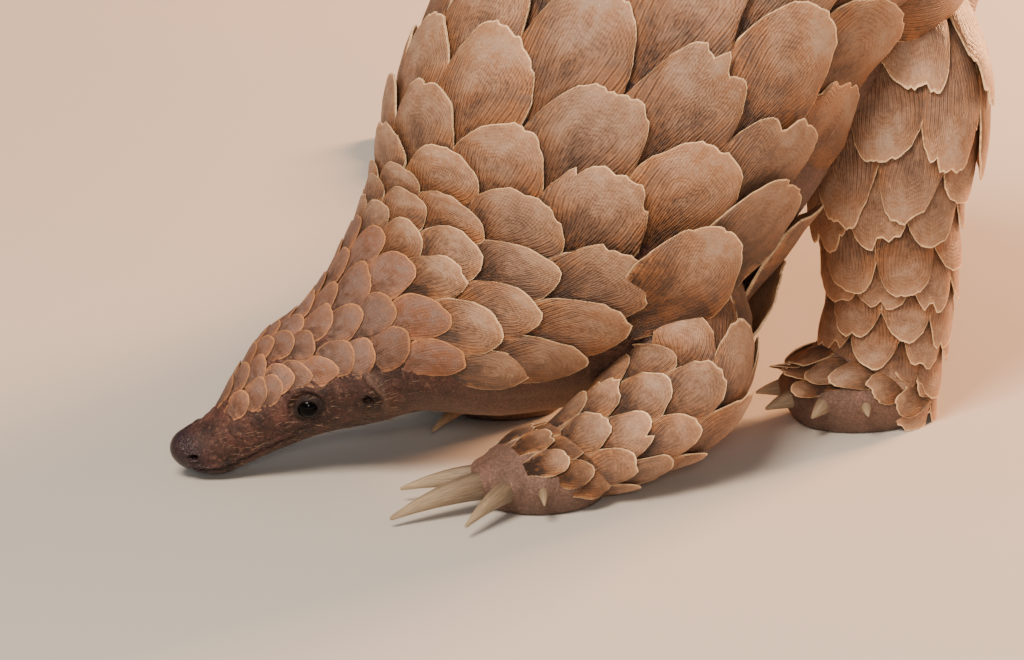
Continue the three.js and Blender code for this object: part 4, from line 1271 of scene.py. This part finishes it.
legForms = dict(foreleg=[], hindleg=[])
rowStart = dict(foreleg=0, hindleg=0)
for name, leg in legLines.items():
    kind = name.split("_")[0]
    limb, forms, sweep, foot = limbKinds[kind], legForms[kind], legs[name], footSweep(name)
    for ring in ringsOf(sweep, fit["legStart"], sweep.length + limb["past"]):
        ring["index"] += rowStart[kind]
        for angle in anglesOf(ring):
            form = formOf(ring, angle, limb["tips"])
            root = sweep.point(form["s"], form["angle"])
            inFoot = np.linalg.norm((root - leg["foot"]) / limb["foot"]) < fit["inFoot"]
            if trunkDistance(root[None])[0] >= limb["clear"] and not inFoot:
                forms.append((sweep, form))
    start = max(form["row"] for _, form in forms) + 2
    centres, radii = limbSpheres(name)
    for ring in ringsOf(foot, fit["footEnds"], foot.length - fit["footEnds"]):
        ring["index"] += start
        for angle in anglesOf(ring):
            form = formOf(ring, angle, limb["tips"])
            root = foot.point(form["s"], form["angle"])
            outside = (np.linalg.norm(root - centres, axis=1) - radii).min() > fit["onLeg"]
            # a scale whose middle comes near a claw is left out
            ahead = form["s"] + 0.55 * form["length"] * math.cos(form["turn"])
            middle = foot.point(ahead, form["angle"])
            room = min(np.linalg.norm(middle - toe) - radius for _, toe, _, radius in clawRoots(name))
            if outside and room > fit["clearToes"]:
                forms.append((foot, form))
    rowStart[kind] = max(form["row"] for _, form in forms) + 2
for kind, forms in legForms.items():
    platePiece(kind + "_scales", forms, scaleHorn)

# Claws bend down by a share of their length and narrow by a share of their radius to a blunt tip.
# They are higher than wide, and their middle stays a share of their radius over the floor.
claws = dict(drop=0.16, taper=0.86, pace=1.5, wide=0.8, high=0.96, over=0.6, blunt=0.55, lowest=0.1)


def clawPiece(name):
    parts, data = [], []
    for heading, root, length, radius in clawRoots(name):
        t = np.linspace(-0.06, 1, 26)  # from just under the skin
        down = length * claws["drop"] * np.maximum(t, 0) ** 2
        r = radius * (1 - claws["taper"] * np.maximum(t, 0) ** claws["pace"])
        p = root + heading * (length * t)[:, None]
        p[:, 2] = np.maximum(p[:, 2] - down, r * claws["over"])
        wide, high = r * claws["wide"], r * claws["high"]
        rows = [(*p[i], wide[i], high[i], high[i], 0, 0, -15, 0, 0) for i in range(len(t))]
        sweep = Sweep(rows, (0, 0, 1), 80)
        S, T = ringGrid(np.r_[np.linspace(0, sweep.length, 40), sweep.length + 0.3], 20)
        swell = np.ones_like(S)
        swell[-1] = claws["blunt"]
        grid = sweep.point(S, T, 0.0, swell)
        points, faces = closedForm(grid, [grid[0].mean(0), grid[-1].mean(0)])
        points[:, 2] = np.maximum(points[:, 2], claws["lowest"])
        parts.append((points, faces))
        share = np.clip(S / sweep.length, 0, 1)
        values = np.stack([T * radius, S, share], -1).reshape(-1, 3)
        data.append(np.r_[values, [values[0]], [values[-1]]])
    made = makeMesh("claws_" + name, *gathered(parts))
    addLayer(made, "horn", np.concatenate(data))
    made.data.materials.append(clawHorn)
    made.data.shade_smooth()
    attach(made, "root")
    foot = name.replace("foreleg", "forefoot").replace("hindleg", "hindfoot")
    toeNames = ("inner", "second", "middle", "fourth", "outer")
    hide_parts(*["claw_" + foot + "_" + toe for toe in toeNames])


for name in legLines:
    clawPiece(name)
print("claws made")

for side, word in ((1, "left"), (-1, "right")):
    place = headPlace(eye["s"], eye["angle"], side)
    centre = place["point"] - place["normal"] * eye["sunk"]
    radius = eye["radius"] - eye["inset"]
    ways = np.stack([place["along"], place["across"], place["normal"]])
    points, faces = ellipsoidPoints(np.zeros(3), np.full(3, radius), *eye["grid"])
    ball = makeMesh("eyeball_" + word, points @ ways + centre, faces)
    fromFront = np.arccos(points[:, 2] / radius)
    addLayer(ball, "iris", np.clip(fromFront / (np.pi / 2), 0, 1))
    ball.data.materials.append(eyeGlass)
    ball.data.shade_smooth()
    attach(ball, "root")
    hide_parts("eye_" + word)
print("eyes made")

# Studio: plain pale floor and large soft lights, a warm one low behind on the right; each has its
# place and size in metres, its watts and its colour.
studio = dict(
    floor="c9c4bc",
    half=6,
    sky="dfe3ea",
    skyStrength=0.28,
    lights=(
        ((-1.7, -1.5, 2.3), 1.0, 138, "ffead4"),
        ((2.2, 0.4, 0.7), 0.6, 235, "ffb880"),
        ((-1.5, -2.8, 1.1), 0.4, 30, "fff0e0"),
    ),
    aim=(0, -0.15, 0.12),
)
floorMesh = bpy.data.meshes.new("floor")
corners = [(x * studio["half"], y * studio["half"], 0) for x, y in ((-1, -1), (1, -1), (1, 1), (-1, 1))]
floorMesh.from_pydata(corners, [], [(0, 1, 2, 3)])
floor = bpy.data.objects.new("floor", floorMesh)
bpy.context.scene.collection.objects.link(floor)
floorPaint = startMaterial("floor_matte_paint")
paint = addNode(floorPaint, "BsdfPrincipled", {"Base Color": linear(studio["floor"]), "Roughness": 0.85})
addNode(floorPaint, "OutputMaterial", {"Surface": paint})
floorMesh.materials.append(floorPaint)
world = bpy.data.worlds.new("studio")
world.use_nodes = True
background = world.node_tree.nodes["Background"]
background.inputs["Color"].default_value = linear(studio["sky"])
background.inputs["Strength"].default_value = studio["skyStrength"]
bpy.context.scene.world = world
for i, (place, size, energy, color) in enumerate(studio["lights"]):
    lamp = bpy.data.lights.new("softbox_%d" % (i + 1), "AREA")
    lamp.size = size
    lamp.energy = energy
    lamp.color = linear(color)[:3]
    holder = bpy.data.objects.new(lamp.name, lamp)
    holder.location = place
    heading = Vector(studio["aim"]) - Vector(place)
    holder.rotation_euler = heading.to_track_quat("-Z", "Y").to_euler()
    bpy.context.scene.collection.objects.link(holder)

# Camera as in the photo: 30 degrees round to the left front, 17 degrees up, on a long lens, aimed
# so many millimetres right and up of the pose's zero.
view = dict(azimuth=-30, elevation=17, distance=2600, aim=(10, 53.5), lens=219.4, sensor=36)
turn, tilt = math.radians(view["azimuth"]), math.radians(view["elevation"])
back = np.array([math.sin(turn) * math.cos(tilt), -math.cos(turn) * math.cos(tilt), math.sin(tilt)])
right = np.array([math.cos(turn), math.sin(turn), 0])
upward = np.cross(back, right)
aim = right * view["aim"][0] + upward * view["aim"][1]
eyePoint = Vector(inFrame(back * view["distance"]))
cameraData = bpy.data.cameras.new("camera")
cameraData.lens = view["lens"]
cameraData.sensor_width = view["sensor"]
cameraData.clip_end = 50
camera = bpy.data.objects.new("camera", cameraData)
camera.location = eyePoint
camera.rotation_euler = (Vector(inFrame(aim)) - eyePoint).to_track_quat("-Z", "Y").to_euler()
bpy.context.scene.collection.objects.link(camera)
bpy.context.scene.camera = camera
